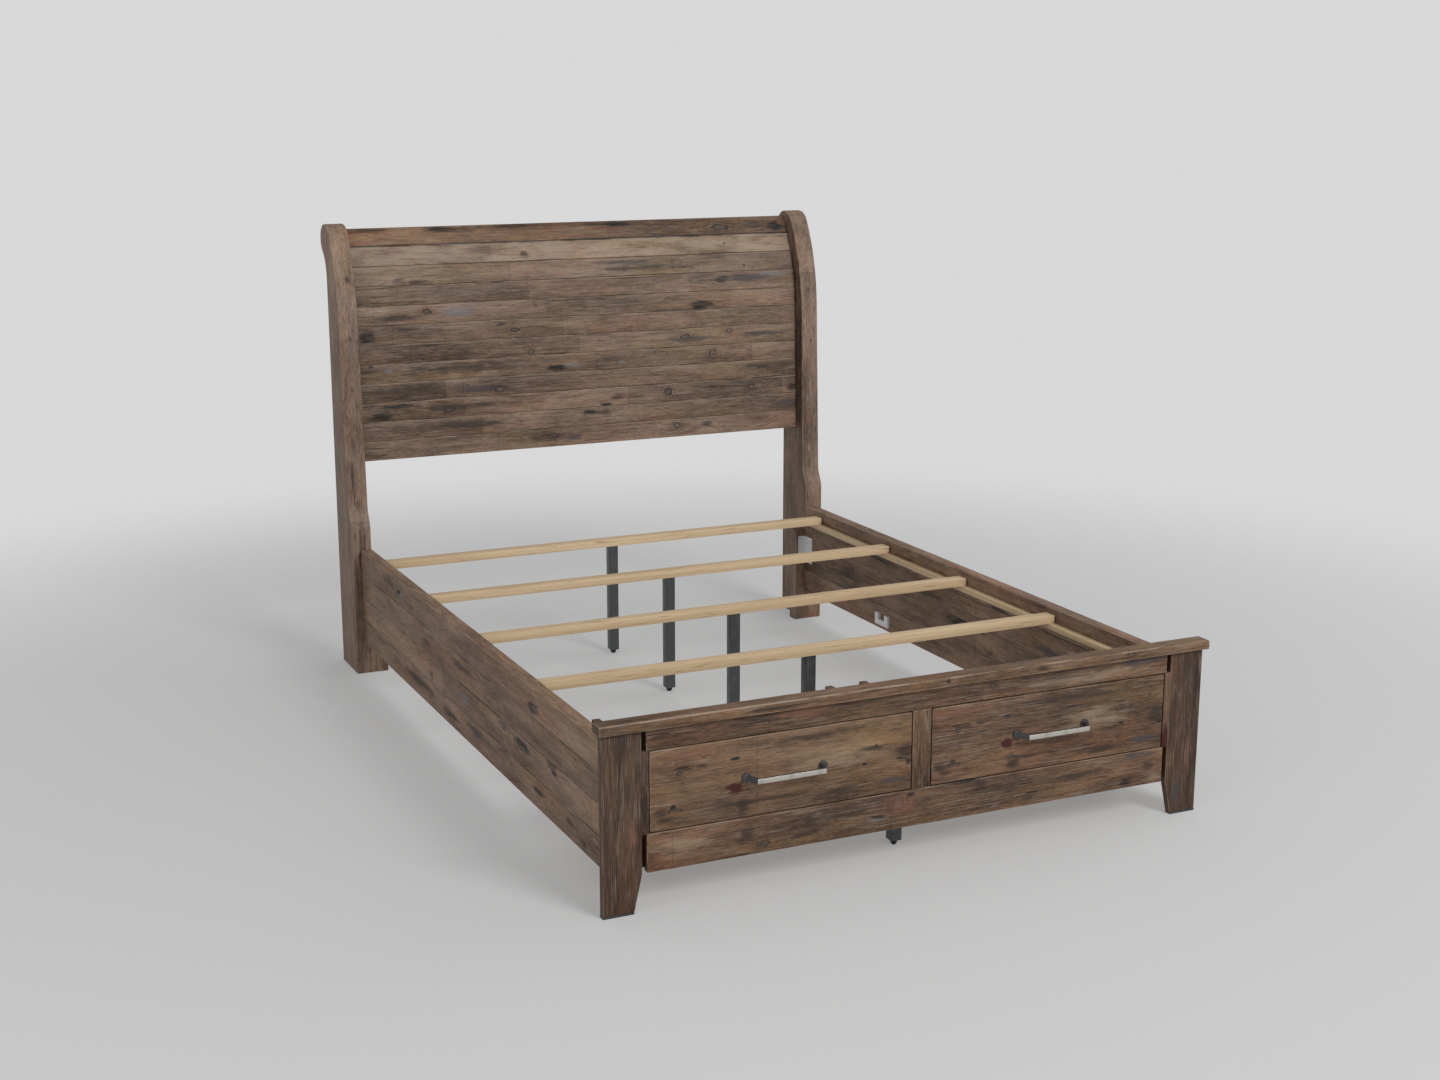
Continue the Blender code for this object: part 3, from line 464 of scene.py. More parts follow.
PLANK_COUNT = 11
panel_low, panel_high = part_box("headboard_panel")
plank_pitch = (panel_high.z - panel_low.z) / PLANK_COUNT
PLANK_SEAM = 0.00015
HEAD_JOINT = 0.0012  # height of the joint under the top rail that gets the darkest painted shade
PANEL_SIGHT = 0.7710  # where the planks run in behind the posts, and where strips of painted shade lie on planks and posts
panel_marks = (
    (0.640, 1.292, 0.110, 0.020, "pale"),
    (0.690, 1.205, 0.060, 0.012, "grey"),
    (-0.616, 1.230, 0.020, 0.009, "purple"),
    (-0.560, 1.225, 0.040, 0.007, "smudge"),
    (0.217, 1.244, 0.150, 0.013, "smudge"),
    (0.150, 1.262, 0.090, 0.007, "purple"),
    (0.523, 1.310, 0.004, 0.003, "dark"),
    (-0.195, 1.297, 0.020, 0.010, "smudge"),
    (0.585, 1.235, 0.005, 0.004, "dark"),
    (0.498, 1.192, 0.021, 0.013, "dark"),
    (0.590, 1.197, 0.090, 0.015, "purple"),
    (-0.436, 1.129, 0.055, 0.020, "grey"),
    (-0.534, 1.132, 0.032, 0.019, "red"),
    (-0.536, 1.133, 0.013, 0.008, "knot"),
    (-0.640, 1.118, 0.080, 0.012, "smudge"),
    (0.415, 1.111, 0.048, 0.012, "dark"),
    (-0.172, 1.135, 0.004, 0.003, "knot"),
    (-0.736, 1.059, 0.030, 0.020, "dark"),
    (-0.609, 1.080, 0.036, 0.007, "smudge"),
    (-0.247, 1.060, 0.014, 0.008, "knot"),
    (-0.197, 0.988, 0.009, 0.007, "eye"),
    (0.354, 1.008, 0.016, 0.009, "eye"),
    (0.380, 0.998, 0.100, 0.010, "purple"),
    (0.517, 1.019, 0.010, 0.007, "eye"),
    (0.640, 1.005, 0.080, 0.008, "purple"),
    (-0.405, 0.952, 0.210, 0.020, "smudge"),
    (-0.102, 0.930, 0.045, 0.010, "dark"),
    (-0.050, 0.936, 0.030, 0.010, "grey"),
    (0.451, 0.948, 0.013, 0.009, "eye"),
    (0.119, 0.936, 0.012, 0.008, "grey"),
    (-0.667, 0.955, 0.015, 0.010, "grey"),
    (-0.728, 0.968, 0.010, 0.006, "dark"),
    (-0.600, 0.892, 0.140, 0.016, "smudge"),
    (-0.418, 0.889, 0.012, 0.006, "eye"),
    (-0.360, 0.878, 0.100, 0.011, "purple"),
    (-0.305, 0.872, 0.016, 0.006, "eye"),
    (0.639, 0.893, 0.110, 0.011, "smudge"),
    (-0.643, 0.840, 0.060, 0.009, "dark"),
    (-0.440, 0.826, 0.170, 0.009, "smudge"),
    (-0.700, 0.808, 0.040, 0.014, "dark"),
    (0.062, 0.800, 0.018, 0.006, "dark"),
    (0.104, 0.822, 0.028, 0.010, "smudge"),
    (0.601, 0.824, 0.011, 0.007, "eye"),
    (0.758, 0.815, 0.025, 0.014, "dark"),
    (0.286, 0.824, 0.014, 0.012, "knot"),
    (0.003, 0.777, 0.032, 0.008, "dark"),
    (0.058, 0.776, 0.034, 0.014, "smudge"),
    (-0.395, 0.766, 0.130, 0.018, "smudge"),
    (0.742, 0.760, 0.045, 0.018, "purple"),
    (-0.145, 0.708, 0.060, 0.015, "smudge"),
    (-0.128, 0.711, 0.014, 0.008, "knot"),
    (-0.060, 0.700, 0.030, 0.016, "purple"),
    (0.318, 0.710, 0.013, 0.009, "eye"),
    (0.429, 0.708, 0.020, 0.009, "purple"),
)
plank_tones = (-0.03, -0.06, -0.05, -0.08, -0.02, 0.02, 0.00, 0.02, -0.02, 0.00, 0.06)
plank_proud = (0.0, 0.4, -0.2, 0.3, 0.0, -0.4, 0.2, 0.5, -0.1, 0.2, 0.0)  # millimetres


def cut_between(piece, low, high):
    """Saws a workpiece off at two heights, and keeps what lies between."""
    only(piece)
    for height, way in ((low, -1), (high, 1)):
        cut = {"plane_co": (0, 0, height), "plane_no": (0, 0, way)}
        bpy.ops.object.mode_set(mode="EDIT")
        bpy.ops.mesh.select_all(action="SELECT")
        bpy.ops.mesh.bisect(**cut, use_fill=True, clear_outer=True, clear_inner=False, threshold=0.00001)
        bpy.ops.object.mode_set(mode="OBJECT")
    return piece


def saw_planks(node, name, count):
    """Saws one board into planks of the same width, the lowest first, with a fine seam between them."""
    board_low, board_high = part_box(node)
    pitch = (board_high.z - board_low.z) / count
    sawn = []
    for number in range(count):
        low = board_low.z + pitch * number
        high = low + pitch
        bottom = low + PLANK_SEAM if number else low - 1
        top = high - PLANK_SEAM if number < count - 1 else high + 1
        sawn.append(cut_between(rough_out(node, f"{name}_{number + 1}"), bottom, top))
    return sawn


under_rail = [panel_high.z, panel_high.z - HEAD_JOINT] * 2  # twice over, so it gets the darkest painted shade
for number, plank in enumerate(saw_planks("headboard_panel", "headboard_plank", PLANK_COUNT)):
    only(plank)
    bpy.ops.object.mode_set(mode="EDIT")
    bpy.ops.mesh.select_all(action="SELECT")
    bpy.ops.transform.translate(value=(0, plank_proud[number] / 1000, 0))
    bpy.ops.object.mode_set(mode="OBJECT")
    ease_edges(plank, 0.0005, 1, 25)
    low = panel_low.z + plank_pitch * number
    marks = [mark for mark in panel_marks if low < mark[1] < low + plank_pitch]
    # a strip of painted shade at each end of the plank, where it runs in behind a post
    marks += [(end * PANEL_SIGHT, low + plank_pitch / 2, 0.004, 0.040, "dark") for end in (-1, 1)]
    # painted shade along the joints with the planks above and below
    seams = [low] * (number > 0) + ([low + plank_pitch] if number < PLANK_COUNT - 1 else under_rail)
    name = f"plank_wood_{number + 1}"
    board = 11.3 + 2.9 * number
    wood = stained_wood(name, "X", board, plank_tones[number], 0.70, 0.30, 0.18, 0.22, marks, seams=seams)
    fit(plank, wood, "frame", "stained_wood", "headboard_panel")


# ---- headboard top rail -------------------------------------------------------------------------
# One stained board lies along the top of the planks, leaning back into the scroll, with its upper
# edges rounded over.

TOP_RAIL_STAIN = (0.95, 0.84, 0.70)
rail_marks = (
    (-0.459, 1.384, 0.050, 0.008, "dark"),
    (-0.400, 1.380, 0.080, 0.008, "smudge"),
    (-0.230, 1.386, 0.090, 0.005, "smudge"),
    (-0.700, 1.386, 0.080, 0.006, "smudge"),
    (0.060, 1.384, 0.060, 0.006, "smudge"),
    (0.153, 1.382, 0.060, 0.008, "dark"),
    (0.400, 1.384, 0.100, 0.004, "smudge"),
    (0.520, 1.362, 0.030, 0.010, "knot"),
    (0.640, 1.372, 0.060, 0.012, "smudge"),
    (0.725, 1.360, 0.030, 0.014, "dark"),
)
top_rail = ease_edges(rough_out("headboard_top_rail", "headboard_rail"), 0.0015, 2, 50)
# painted shade along the rail's lower edge, twice over, where it meets the planks
seams = (panel_high.z, panel_high.z + HEAD_JOINT) * 2
wood = stained_wood(
    "headboard_rail_wood", "X", 47.2, -0.02, 0.7, 0.60, 0.10, 0.25, rail_marks, False, seams, TOP_RAIL_STAIN
)
fit(top_rail, wood, "frame", "stained_wood", "headboard_top_rail")


# ---- side rails ---------------------------------------------------------------------------------
# Each side rail is four stained planks on edge, jointed to one another with a small V, and hooked
# between a foot leg and a headboard post. The end rows show on the inside too.

RAIL_PLANK_COUNT = 4
RAIL_STAIN = (1.04, 0.98, 0.92)
RAIL_TONES = (0.00, 0.03, 0.05, 0.05)  # the lowest plank first
rail_plank_marks = {
    "left": (
        (-0.662, 0.355, 0.038, 0.020, "purple"),
        (-0.640, 0.352, 0.024, 0.013, "dark"),
        (0.509, 0.362, 0.030, 0.018, "grey"),
        (0.530, 0.368, 0.018, 0.010, "dark"),
        (0.640, 0.378, 0.070, 0.015, "smudge"),
        (0.700, 0.370, 0.040, 0.010, "red"),
        (0.250, 0.286, 0.030, 0.010, "smudge"),
        (0.210, 0.200, 0.012, 0.008, "knot"),
        (-0.438, 0.240, 0.050, 0.012, "purple"),
        (-0.569, 0.229, 0.060, 0.013, "dark"),
        (-0.780, 0.245, 0.040, 0.012, "smudge"),
        (-0.800, 0.232, 0.018, 0.006, "dark"),
        (0.340, 0.145, 0.190, 0.015, "smudge"),
        (0.040, 0.132, 0.070, 0.014, "dark"),
        (-0.180, 0.150, 0.090, 0.012, "purple"),
        (-0.690, 0.148, 0.040, 0.010, "dark"),
        (-0.895, 0.143, 0.030, 0.008, "smudge"),
        (-0.985, 0.122, 0.020, 0.010, "dark"),
        (-0.100, 0.300, 0.100, 0.012, "smudge"),
        (-0.100, 0.215, 0.060, 0.012, "grey"),
    ),
    "right": (
        (0.450, 0.330, 0.120, 0.018, "purple"),
        (0.620, 0.230, 0.090, 0.014, "smudge"),
        (0.150, 0.290, 0.120, 0.015, "smudge"),
        (-0.100, 0.240, 0.100, 0.014, "dark"),
        (-0.300, 0.330, 0.090, 0.010, "smudge"),
        (-0.550, 0.270, 0.080, 0.016, "purple"),
    ),
}
for side_number, side in enumerate(("left", "right")):
    rail_low, rail_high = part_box(f"side_rail_{side}")
    pitch = (rail_high.z - rail_low.z) / RAIL_PLANK_COUNT
    planks = saw_planks(f"side_rail_{side}", f"side_rail_{side}_plank", RAIL_PLANK_COUNT)
    for number, plank in enumerate(planks):
        ease_edges(plank, 0.0006, 1, 25)
        low = rail_low.z + pitch * number
        marks = [mark for mark in rail_plank_marks[side] if low < mark[1] < low + pitch]
        # painted shade along the joints with the planks above and below
        seams = [low] * (number > 0) + [low + pitch] * (number < RAIL_PLANK_COUNT - 1)
        board = 52.7 + 3.1 * number + 17.0 * side_number
        tone = RAIL_TONES[number] - 0.05 * side_number
        name = f"rail_wood_{side}_{number + 1}"
        wood = stained_wood(
            name, "Y", board, tone, 0.62, 0.45, 0.22, 0.24, marks, seams=seams, tint=RAIL_STAIN
        )
        fit(plank, wood, "frame", "stained_wood", f"side_rail_{side}")


# ---- cleats and slats ---------------------------------------------------------------------------
# Bare sanded pine. A cleat is screwed along each side rail, and five slats lie across the cleats.
# Sawn edges are left almost sharp.


def make_bare_pine():
    """Clean pine: growth bands and short brown flecks along the grain, warmed by handling."""
    takes = {"Place": "Vector", "Board": "Float"}
    tree, given = new_group("bare_pine", takes, {"Colour": "Color", "Height": "Float"})
    far = times(tree, given["Board"], 5.7)
    shift = add(tree, "ShaderNodeCombineXYZ", {"X": far, "Y": given["Board"], "Z": far}).outputs[0]
    place = vector_node(tree, "ADD", given["Place"], shift)
    broad = figure(tree, place, 1.6, 20.0, 3.0, 0.5, 3.0)
    bands = figure(tree, place, 2.2, 130.0, 4.0, 0.6, 7.0)
    flecks = ease_between(tree, figure(tree, place, 14.0, 300.0, 2.0, 0.5, 13.0), 0.62, 0.72)
    knot = ease_between(tree, figure(tree, place, 5.0, 18.0, 1.0, 0.4, 19.0), 0.74, 0.80)
    tone = math_node(tree, "ADD", times(tree, broad, 0.5), times(tree, bands, 0.5))
    ramp = add(tree, "ShaderNodeValToRGB", {0: tone})
    ramp.color_ramp.elements[0].position = 0.30
    ramp.color_ramp.elements[0].color = (0.420, 0.290, 0.160, 1)
    ramp.color_ramp.elements[1].position = 0.68
    ramp.color_ramp.elements[1].color = (0.640, 0.490, 0.310, 1)
    colour = blend_in(tree, times(tree, flecks, 0.7), ramp.outputs["Color"], (0.26, 0.155, 0.080))
    colour = blend_in(tree, times(tree, knot, 0.7), colour, (0.16, 0.085, 0.045))
    height = math_node(tree, "SUBTRACT", bands, times(tree, flecks, 0.4))
    return give_back(tree, {"Colour": colour, "Height": height})


bare_pine = make_bare_pine()


def pine_wood(name, grain, board):
    made, tree, shader = new_finish(name)
    wood = add(tree, "ShaderNodeGroup", node_tree=bare_pine)
    tree.links.new(along_grain(tree, grain)[1], wood.inputs["Place"])
    wood.inputs["Board"].default_value = board
    coat(tree, shader, wood.outputs["Colour"], wood.outputs["Height"], 0.4, 0.0006)
    shader.inputs["Roughness"].default_value = 0.62
    return made


SLAT_COUNT = 5
for number, side in enumerate(("left", "right")):
    cleat = ease_edges(rough_out(f"slat_cleat_{side}", f"cleat_{side}"), 0.001)
    fit(cleat, pine_wood(f"cleat_pine_{side}", "Y", 3.0 + number), "frame", "pine", f"slat_cleat_{side}")
for number in range(1, SLAT_COUNT + 1):
    slat = ease_edges(rough_out(f"slat_{number}", f"pine_slat_{number}"), 0.0008)
    fit(slat, pine_wood(f"slat_pine_{number}", "X", 10.0 + 2.3 * number), "frame", "pine", f"slat_{number}")


# ---- centre legs and levelling feet -------------------------------------------------------------
# Each slat stands at its middle on a square steel tube with a dark powder coat, which ends in a
# black moulded levelling foot that screws in and out.


def coated_metal(name, colour, roughness, metallic, peel_scale, scuff, scuff_colour):
    """Metal or moulding with a fine orange peel and scuffs."""
    made, tree, shader = new_finish(name)
    where = add(tree, "ShaderNodeTexCoord").outputs["Object"]
    peel = add(tree, "ShaderNodeTexNoise", {"Vector": where, "Scale": peel_scale, "Detail": 2.0})
    cloud = add(tree, "ShaderNodeTexNoise", {"Vector": where, "Scale": 28.0, "Detail": 4.0}).outputs["Fac"]
    scuffed = times(tree, ease_between(tree, cloud, 0.50, 0.72), scuff)
    coat(tree, shader, blend_in(tree, scuffed, colour, scuff_colour), peel.outputs["Fac"], 0.15, 0.0003)
    rough = ease_between(tree, cloud, 0.3, 0.7, roughness - 0.06, roughness + 0.10)
    tree.links.new(rough, shader.inputs["Roughness"])
    shader.inputs["Metallic"].default_value = metallic
    return made


def turned_disc(name, sides, radius, depth, spot, turn=(0, 0, 0)):
    """A flat disc from the lathe, turned and set down, with its outer face ready to be worked."""
    bpy.ops.object.select_all(action="DESELECT")
    bpy.ops.mesh.primitive_cylinder_add(
        vertices=sides, radius=radius, depth=depth, location=spot, rotation=turn
    )
    disc = bpy.context.object
    disc.name = name
    for face in disc.data.polygons:
        face.select = face.normal.z > 0.9
    bpy.ops.object.transform_apply(location=True, rotation=True, scale=True)
    bpy.ops.object.mode_set(mode="EDIT")
    bpy.ops.mesh.select_mode(type="FACE")
    return disc


FOOT_TIP = 0.68  # how wide the tip and the stem are, as a share of the collar
FOOT_STEM = 0.42
TIP_DISC = 0.001
FLARE_RISE = 0.005
COLLAR_RISE = 0.0055
tube_coat = coated_metal(
    "tube_powder_coat", (0.085, 0.088, 0.092), 0.34, 0.60, 900.0, 0.25, (0.15, 0.15, 0.155)
)
foot_moulding = coated_metal(
    "foot_moulding", (0.030, 0.031, 0.033), 0.55, 0.0, 500.0, 0.15, (0.05, 0.05, 0.05)
)
for number in range(1, SLAT_COUNT + 1):
    tube = ease_edges(rough_out(f"centre_leg_{number}", f"tube_leg_{number}"), 0.0012)
    fit(tube, tube_coat, "frame", "black_steel", f"centre_leg_{number}")
    low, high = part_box(f"leveller_{number}")
    radius = (high.x - low.x) / 2
    middle = ((low.x + high.x) / 2, (low.y + high.y) / 2)
    spot = (*middle, low.z + TIP_DISC / 2)
    foot = turned_disc(f"levelling_foot_{number}", 48, radius * FOOT_TIP, TIP_DISC, spot)
    stem_rise = high.z - low.z - TIP_DISC - FLARE_RISE - COLLAR_RISE
    for rise, spread in ((FLARE_RISE, 1 / FOOT_TIP), (COLLAR_RISE, 1), (0, FOOT_STEM), (stem_rise, 1)):
        bpy.ops.mesh.extrude_region_move(TRANSFORM_OT_translate={"value": (0, 0, rise)})
        bpy.ops.transform.resize(value=(spread, spread, 1), center_override=(*middle, 0))
    bpy.ops.object.mode_set(mode="OBJECT")
    ease_edges(foot, 0.0006, 2)
    fit(foot, foot_moulding, f"leveller_{number}", "black_plastic", f"leveller_{number}")


# ---- foot legs and glides -----------------------------------------------------------------------
# The two wide foot legs are stained boards, straight outside and tapered inside near the floor,
# with the grain upright. A black glide is nailed under each.

FOOT_STAIN = (0.84, 0.73, 0.59)  # the foot end took the stain warmer than the rest
LEG_STAIN = (0.36, 0.29, 0.22)
GLIDE_REACH = 0.0024  # moulded rim that laps out past the nailed plate, all round
leg_marks = {
    "left": (
        (0.405, -0.775, 0.026, 0.020, "smudge"),
        (0.330, -0.735, 0.030, 0.007, "smudge"),
        (0.290, -0.760, 0.040, 0.007, "smudge"),
        (0.250, -0.7245, 0.090, 0.003, "dark"),
        (0.190, -0.750, 0.040, 0.010, "red"),
        (0.150, -0.812, 0.100, 0.004, "smudge"),
        (0.022, -0.790, 0.010, 0.006, "smudge"),
    ),
    "right": (
        (0.395, 0.775, 0.030, 0.014, "smudge"),
        (0.330, 0.806, 0.060, 0.006, "dark"),
        (0.240, 0.735, 0.080, 0.006, "smudge"),
        (0.290, 0.745, 0.060, 0.007, "smudge"),
        (0.060, 0.760, 0.040, 0.012, "purple"),
        (0.150, 0.790, 0.060, 0.008, "red"),
    ),
}
for number, side in enumerate(("left", "right")):
    leg = ease_edges(rough_out(f"foot_leg_{side}", f"footboard_leg_{side}"), 0.002, 3)
    board = 83.1 + 4.3 * number
    wood = stained_wood(
        f"leg_wood_{side}", "Z", board, -0.04, 0.80, 0.35, 0.25, 0.10, leg_marks[side], tint=LEG_STAIN
    )
    fit(leg, wood, "frame", "stained_wood", f"foot_leg_{side}")
    glide = rough_out(f"foot_glide_{side}", f"glide_{side}")
    low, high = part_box(f"foot_glide_{side}")
    spread = (1 + 2 * GLIDE_REACH / (high.x - low.x), 1 + 2 * GLIDE_REACH / (high.y - low.y), 1)
    bpy.ops.object.mode_set(mode="EDIT")
    bpy.ops.mesh.select_all(action="SELECT")
    bpy.ops.transform.resize(value=spread, center_override=(low + high) / 2)
    bpy.ops.object.mode_set(mode="OBJECT")
    ease_edges(glide, 0.0008)
    fit(glide, foot_moulding, "frame", "black_plastic", f"foot_glide_{side}")


# ---- footboard cap and face frame ---------------------------------------------------------------
# A stained cap overhangs the legs in front and at both ends. Under it a top rail, an apron and a
# short mullion frame the two drawers, and a narrow stile stands between each drawer and its leg.

cap_marks = (
    (0.060, 0.452, 0.006, 0.005, "dark"),
    (0.590, 0.452, 0.007, 0.005, "eye"),
    (0.330, 0.449, 0.020, 0.008, "smudge"),
    (-0.400, 0.446, 0.080, 0.005, "smudge"),
)
cap = ease_edges(rough_out("footboard_cap", "cap"), 0.0025, 2, 60)
wood = stained_wood("cap_wood", "X", 91.7, 0.00, 0.55, 0.30, 0.25, 0.18, cap_marks, tint=FOOT_STAIN)
fit(cap, wood, "frame", "stained_wood", "footboard_cap")

apron_marks = (
    (-0.634, 0.149, 0.080, 0.022, "pale"),
    (-0.461, 0.150, 0.018, 0.020, "smudge"),
    (-0.433, 0.116, 0.006, 0.005, "knot"),
    (-0.415, 0.117, 0.008, 0.007, "knot"),
    (-0.303, 0.156, 0.026, 0.014, "smudge"),
    (-0.300, 0.125, 0.050, 0.010, "smudge"),
    (-0.125, 0.126, 0.026, 0.006, "grey"),
    (-0.118, 0.134, 0.018, 0.006, "dark"),
    (-0.062, 0.158, 0.018, 0.015, "knot"),
    (-0.088, 0.150, 0.010, 0.012, "dark"),
    (-0.055, 0.146, 0.012, 0.003, "dark"),
    (-0.060, 0.158, 0.060, 0.030, "red"),
    (-0.030, 0.176, 0.014, 0.006, "dark"),
    (0.123, 0.184, 0.040, 0.006, "dark"),
    (0.165, 0.172, 0.018, 0.012, "smudge"),
    (0.147, 0.110, 0.050, 0.004, "smudge"),
    (0.312, 0.116, 0.010, 0.005, "knot"),
    (0.325, 0.128, 0.022, 0.003, "dark"),
    (0.450, 0.150, 0.090, 0.010, "smudge"),
    (0.599, 0.110, 0.018, 0.010, "dark"),
    (0.646, 0.178, 0.050, 0.008, "purple"),
    (0.668, 0.143, 0.020, 0.012, "smudge"),
    (0.690, 0.110, 0.030, 0.010, "pale"),
)
face_rail_marks = (
    (-0.315, 0.422, 0.070, 0.012, "red"),
    (0.197, 0.420, 0.010, 0.006, "knot"),
    (0.480, 0.405, 0.160, 0.016, "pale"),
    (0.640, 0.425, 0.060, 0.012, "purple"),
)
stile_marks = {
    "left": ((0.130, -0.7195, 0.040, 0.014, "wine"), (0.250, -0.7195, 0.060, 0.004, "dark")),
    "right": ((0.205, 0.7195, 0.040, 0.012, "wine"), (0.130, 0.7195, 0.040, 0.012, "smudge")),
}
frame_boards = (
    ("footboard_top_rail", "face_rail", "X", 97.3, -0.08, 0.3, 0.10, face_rail_marks),
    ("footboard_apron", "apron", "X", 103.9, -0.15, 0.50, 0.20, apron_marks),
    ("footboard_mullion", "mullion", "Z", 109.1, -0.05, 0.4, 0.05, ()),
    ("footboard_stile_left", "stile_left", "Z", 113.6, -0.36, 0.5, 0.05, stile_marks["left"]),
    ("footboard_stile_right", "stile_right", "Z", 118.2, -0.09, 0.5, 0.05, stile_marks["right"]),
)
for node, name, grain, board, tone, redness, knots, marks in frame_boards:
    piece = ease_edges(rough_out(node, name), 0.0010, 2)
    finish = f"{name}_wood"
    wood = stained_wood(finish, grain, board, tone, 0.70, redness, 0.25, knots, marks, tint=FOOT_STAIN)
    fit(piece, wood, "frame", "stained_wood", node)


# ---- drawers ------------------------------------------------------------------------------------
# Each drawer is an open box of stained boards on a wide stained front, with a thin pine floor let
# into its walls. Both fronts are sawn from like boards and took a redder stain.

front_marks = (  # from the middle of the drawer front, along and up
    (-0.268, 0.035, 0.006, 0.006, "knot"),
    (-0.248, 0.040, 0.016, 0.003, "dark"),
    (-0.262, 0.046, 0.022, 0.003, "dark"),
    (-0.290, 0.034, 0.014, 0.002, "dark"),
    (-0.207, 0.044, 0.014, 0.006, "smudge"),
    (-0.127, 0.050, 0.013, 0.004, "dark"),
    (-0.281, -0.045, 0.007, 0.006, "dark"),
    (-0.276, -0.052, 0.016, 0.003, "knot"),
    (-0.315, -0.054, 0.018, 0.014, "smudge"),
    (-0.301, -0.072, 0.020, 0.008, "smudge"),
    (-0.108, -0.070, 0.020, 0.024, "smudge"),
    (-0.060, -0.060, 0.120, 0.006, "smudge"),
    (-0.240, 0.080, 0.100, 0.010, "red"),
    (0.120, 0.010, 0.120, 0.030, "pale"),
    (0.212, -0.014, 0.008, 0.004, "dark"),
    (0.240, 0.026, 0.005, 0.004, "dark"),
    (0.225, 0.022, 0.040, 0.006, "smudge"),
    (0.318, -0.002, 0.010, 0.007, "knot"),
    (0.324, 0.010, 0.016, 0.003, "dark"),
    (0.308, -0.014, 0.014, 0.003, "dark"),
    (0.324, 0.000, 0.030, 0.024, "smudge"),
    (0.332, -0.026, 0.012, 0.008, "dark"),
    (0.285, -0.066, 0.036, 0.008, "purple"),
    (0.150, -0.074, 0.060, 0.010, "smudge"),
    (0.060, 0.074, 0.140, 0.010, "smudge"),
    (-0.124, -0.021, 0.019, 0.012, "wine"),
)
for number, side in enumerate(("left", "right")):
    low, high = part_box(f"drawer_{side}_front")
    middle = (low + high) / 2
    body = f"drawer_{side}"
    marks = [(middle.x + u, middle.z + v, a, b, kind) for u, v, a, b, kind in front_marks]
    front = ease_edges(rough_out(f"drawer_{side}_front", f"{body}_face"), 0.0015, 2)
    board = 127.4 + number * 0.03
    name = f"{body}_face_wood"
    wood = stained_wood(name, "X", board, -0.05, 0.40, 0.60, 0.10, 0.10, marks, tint=FOOT_STAIN)
    fit(front, wood, body, "drawer_wood", f"drawer_{side}_front")
    for wall, grain in (("wall_left", "Y"), ("wall_right", "Y"), ("back", "X")):
        piece = ease_edges(rough_out(f"drawer_{side}_{wall}", f"{body}_box_{wall}"), 0.0010, 2)
        board = 133.0 + 3.7 * number + len(wall)
        wood = stained_wood(f"{body}_{wall}_wood", grain, board, -0.06, 0.5, 0.5, 0.2, 0.1)
        fit(piece, wood, body, "drawer_wood", f"drawer_{side}_{wall}")
    floor_board = ease_edges(rough_out(f"drawer_{side}_floor", f"{body}_box_floor"), 0.0005, 1)
    pine = pine_wood(f"{body}_floor_pine", "X", 30.0 + number)
    fit(floor_board, pine, body, "pine", f"drawer_{side}_floor")


# ---- drawer pulls -------------------------------------------------------------------------------
# A flat bar on two splayed legs, cast in one with them and screwed through round roses. The front
# of the bar is rubbed bright, and everything behind it is left dark; the bar's downward faces are
# dark too, as painted shade under the bar.

bar_nickel = coated_metal("bar_nickel", (0.56, 0.53, 0.48), 0.36, 0.85, 700.0, 0.60, (0.27, 0.25, 0.23))
dark_iron_and_painted_shade = coated_metal("dark_iron_and_painted_shade", (0.085, 0.085, 0.088), 0.42, 0.75, 700.0, 0.30, (0.16, 0.155, 0.15))
BAR_DEPTH = 0.0085
BAR_FROM_END = 0.022
ROSE_LAP = 0.0004  # how far a rose shows past the round of its leg
ROSE_DEPTH = 0.0042
ROSE_BACK = 0.0024  # from the back of the pull to the middle of the disc
ROSE_STEP = 0.0022
ROSE_BOSS = 0.0014
for side in ("left", "right"):
    node = f"drawer_{side}_pull"
    low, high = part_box(node)
    pull = ease_edges(rough_out(node, f"pull_{side}"), 0.0012, 2)
    fit(pull, dark_iron_and_painted_shade, f"drawer_{side}", "pewter", node)
    pull.data.materials.append(bar_nickel)
    bar_half = (high.x - low.x) / 2 - BAR_FROM_END
    centre = (low.x + high.x) / 2
    for face in pull.data.polygons:
        forward = face.center.y < low.y + BAR_DEPTH and abs(face.center.x - centre) < bar_half
        # the bar's downward faces keep the dark iron, as painted shade under the bar
        face.material_index = 1 if forward and face.normal.z > -0.7 else 0
    for end in (-1, 1):
        radius = (high.z - low.z) / 2 + ROSE_LAP
        rose_x = centre + end * ((high.x - low.x) / 2 - radius + ROSE_LAP)
        spot = (rose_x, high.y - ROSE_BACK, (low.z + high.z) / 2)
        name = f"pull_{side}_rose_{'left' if end < 0 else 'right'}"
        rose = turned_disc(name, 40, radius, ROSE_DEPTH, spot, (math.pi / 2, 0, 0))
        bpy.ops.mesh.inset(thickness=ROSE_STEP)
        bpy.ops.mesh.extrude_region_move(TRANSFORM_OT_translate={"value": (0, -ROSE_BOSS, 0)})
        bpy.ops.object.mode_set(mode="OBJECT")
        ease_edges(rose, 0.0007, 2)
        fit(rose, dark_iron_and_painted_shade, f"drawer_{side}", "pewter", node)


# ---- drawer runners and their cross rail --------------------------------------------------------
# Under each drawer wall runs an L-shaped pine runner. The back ends of all four lie on a pine cross
# rail, whose ends drop into two steel hangers.

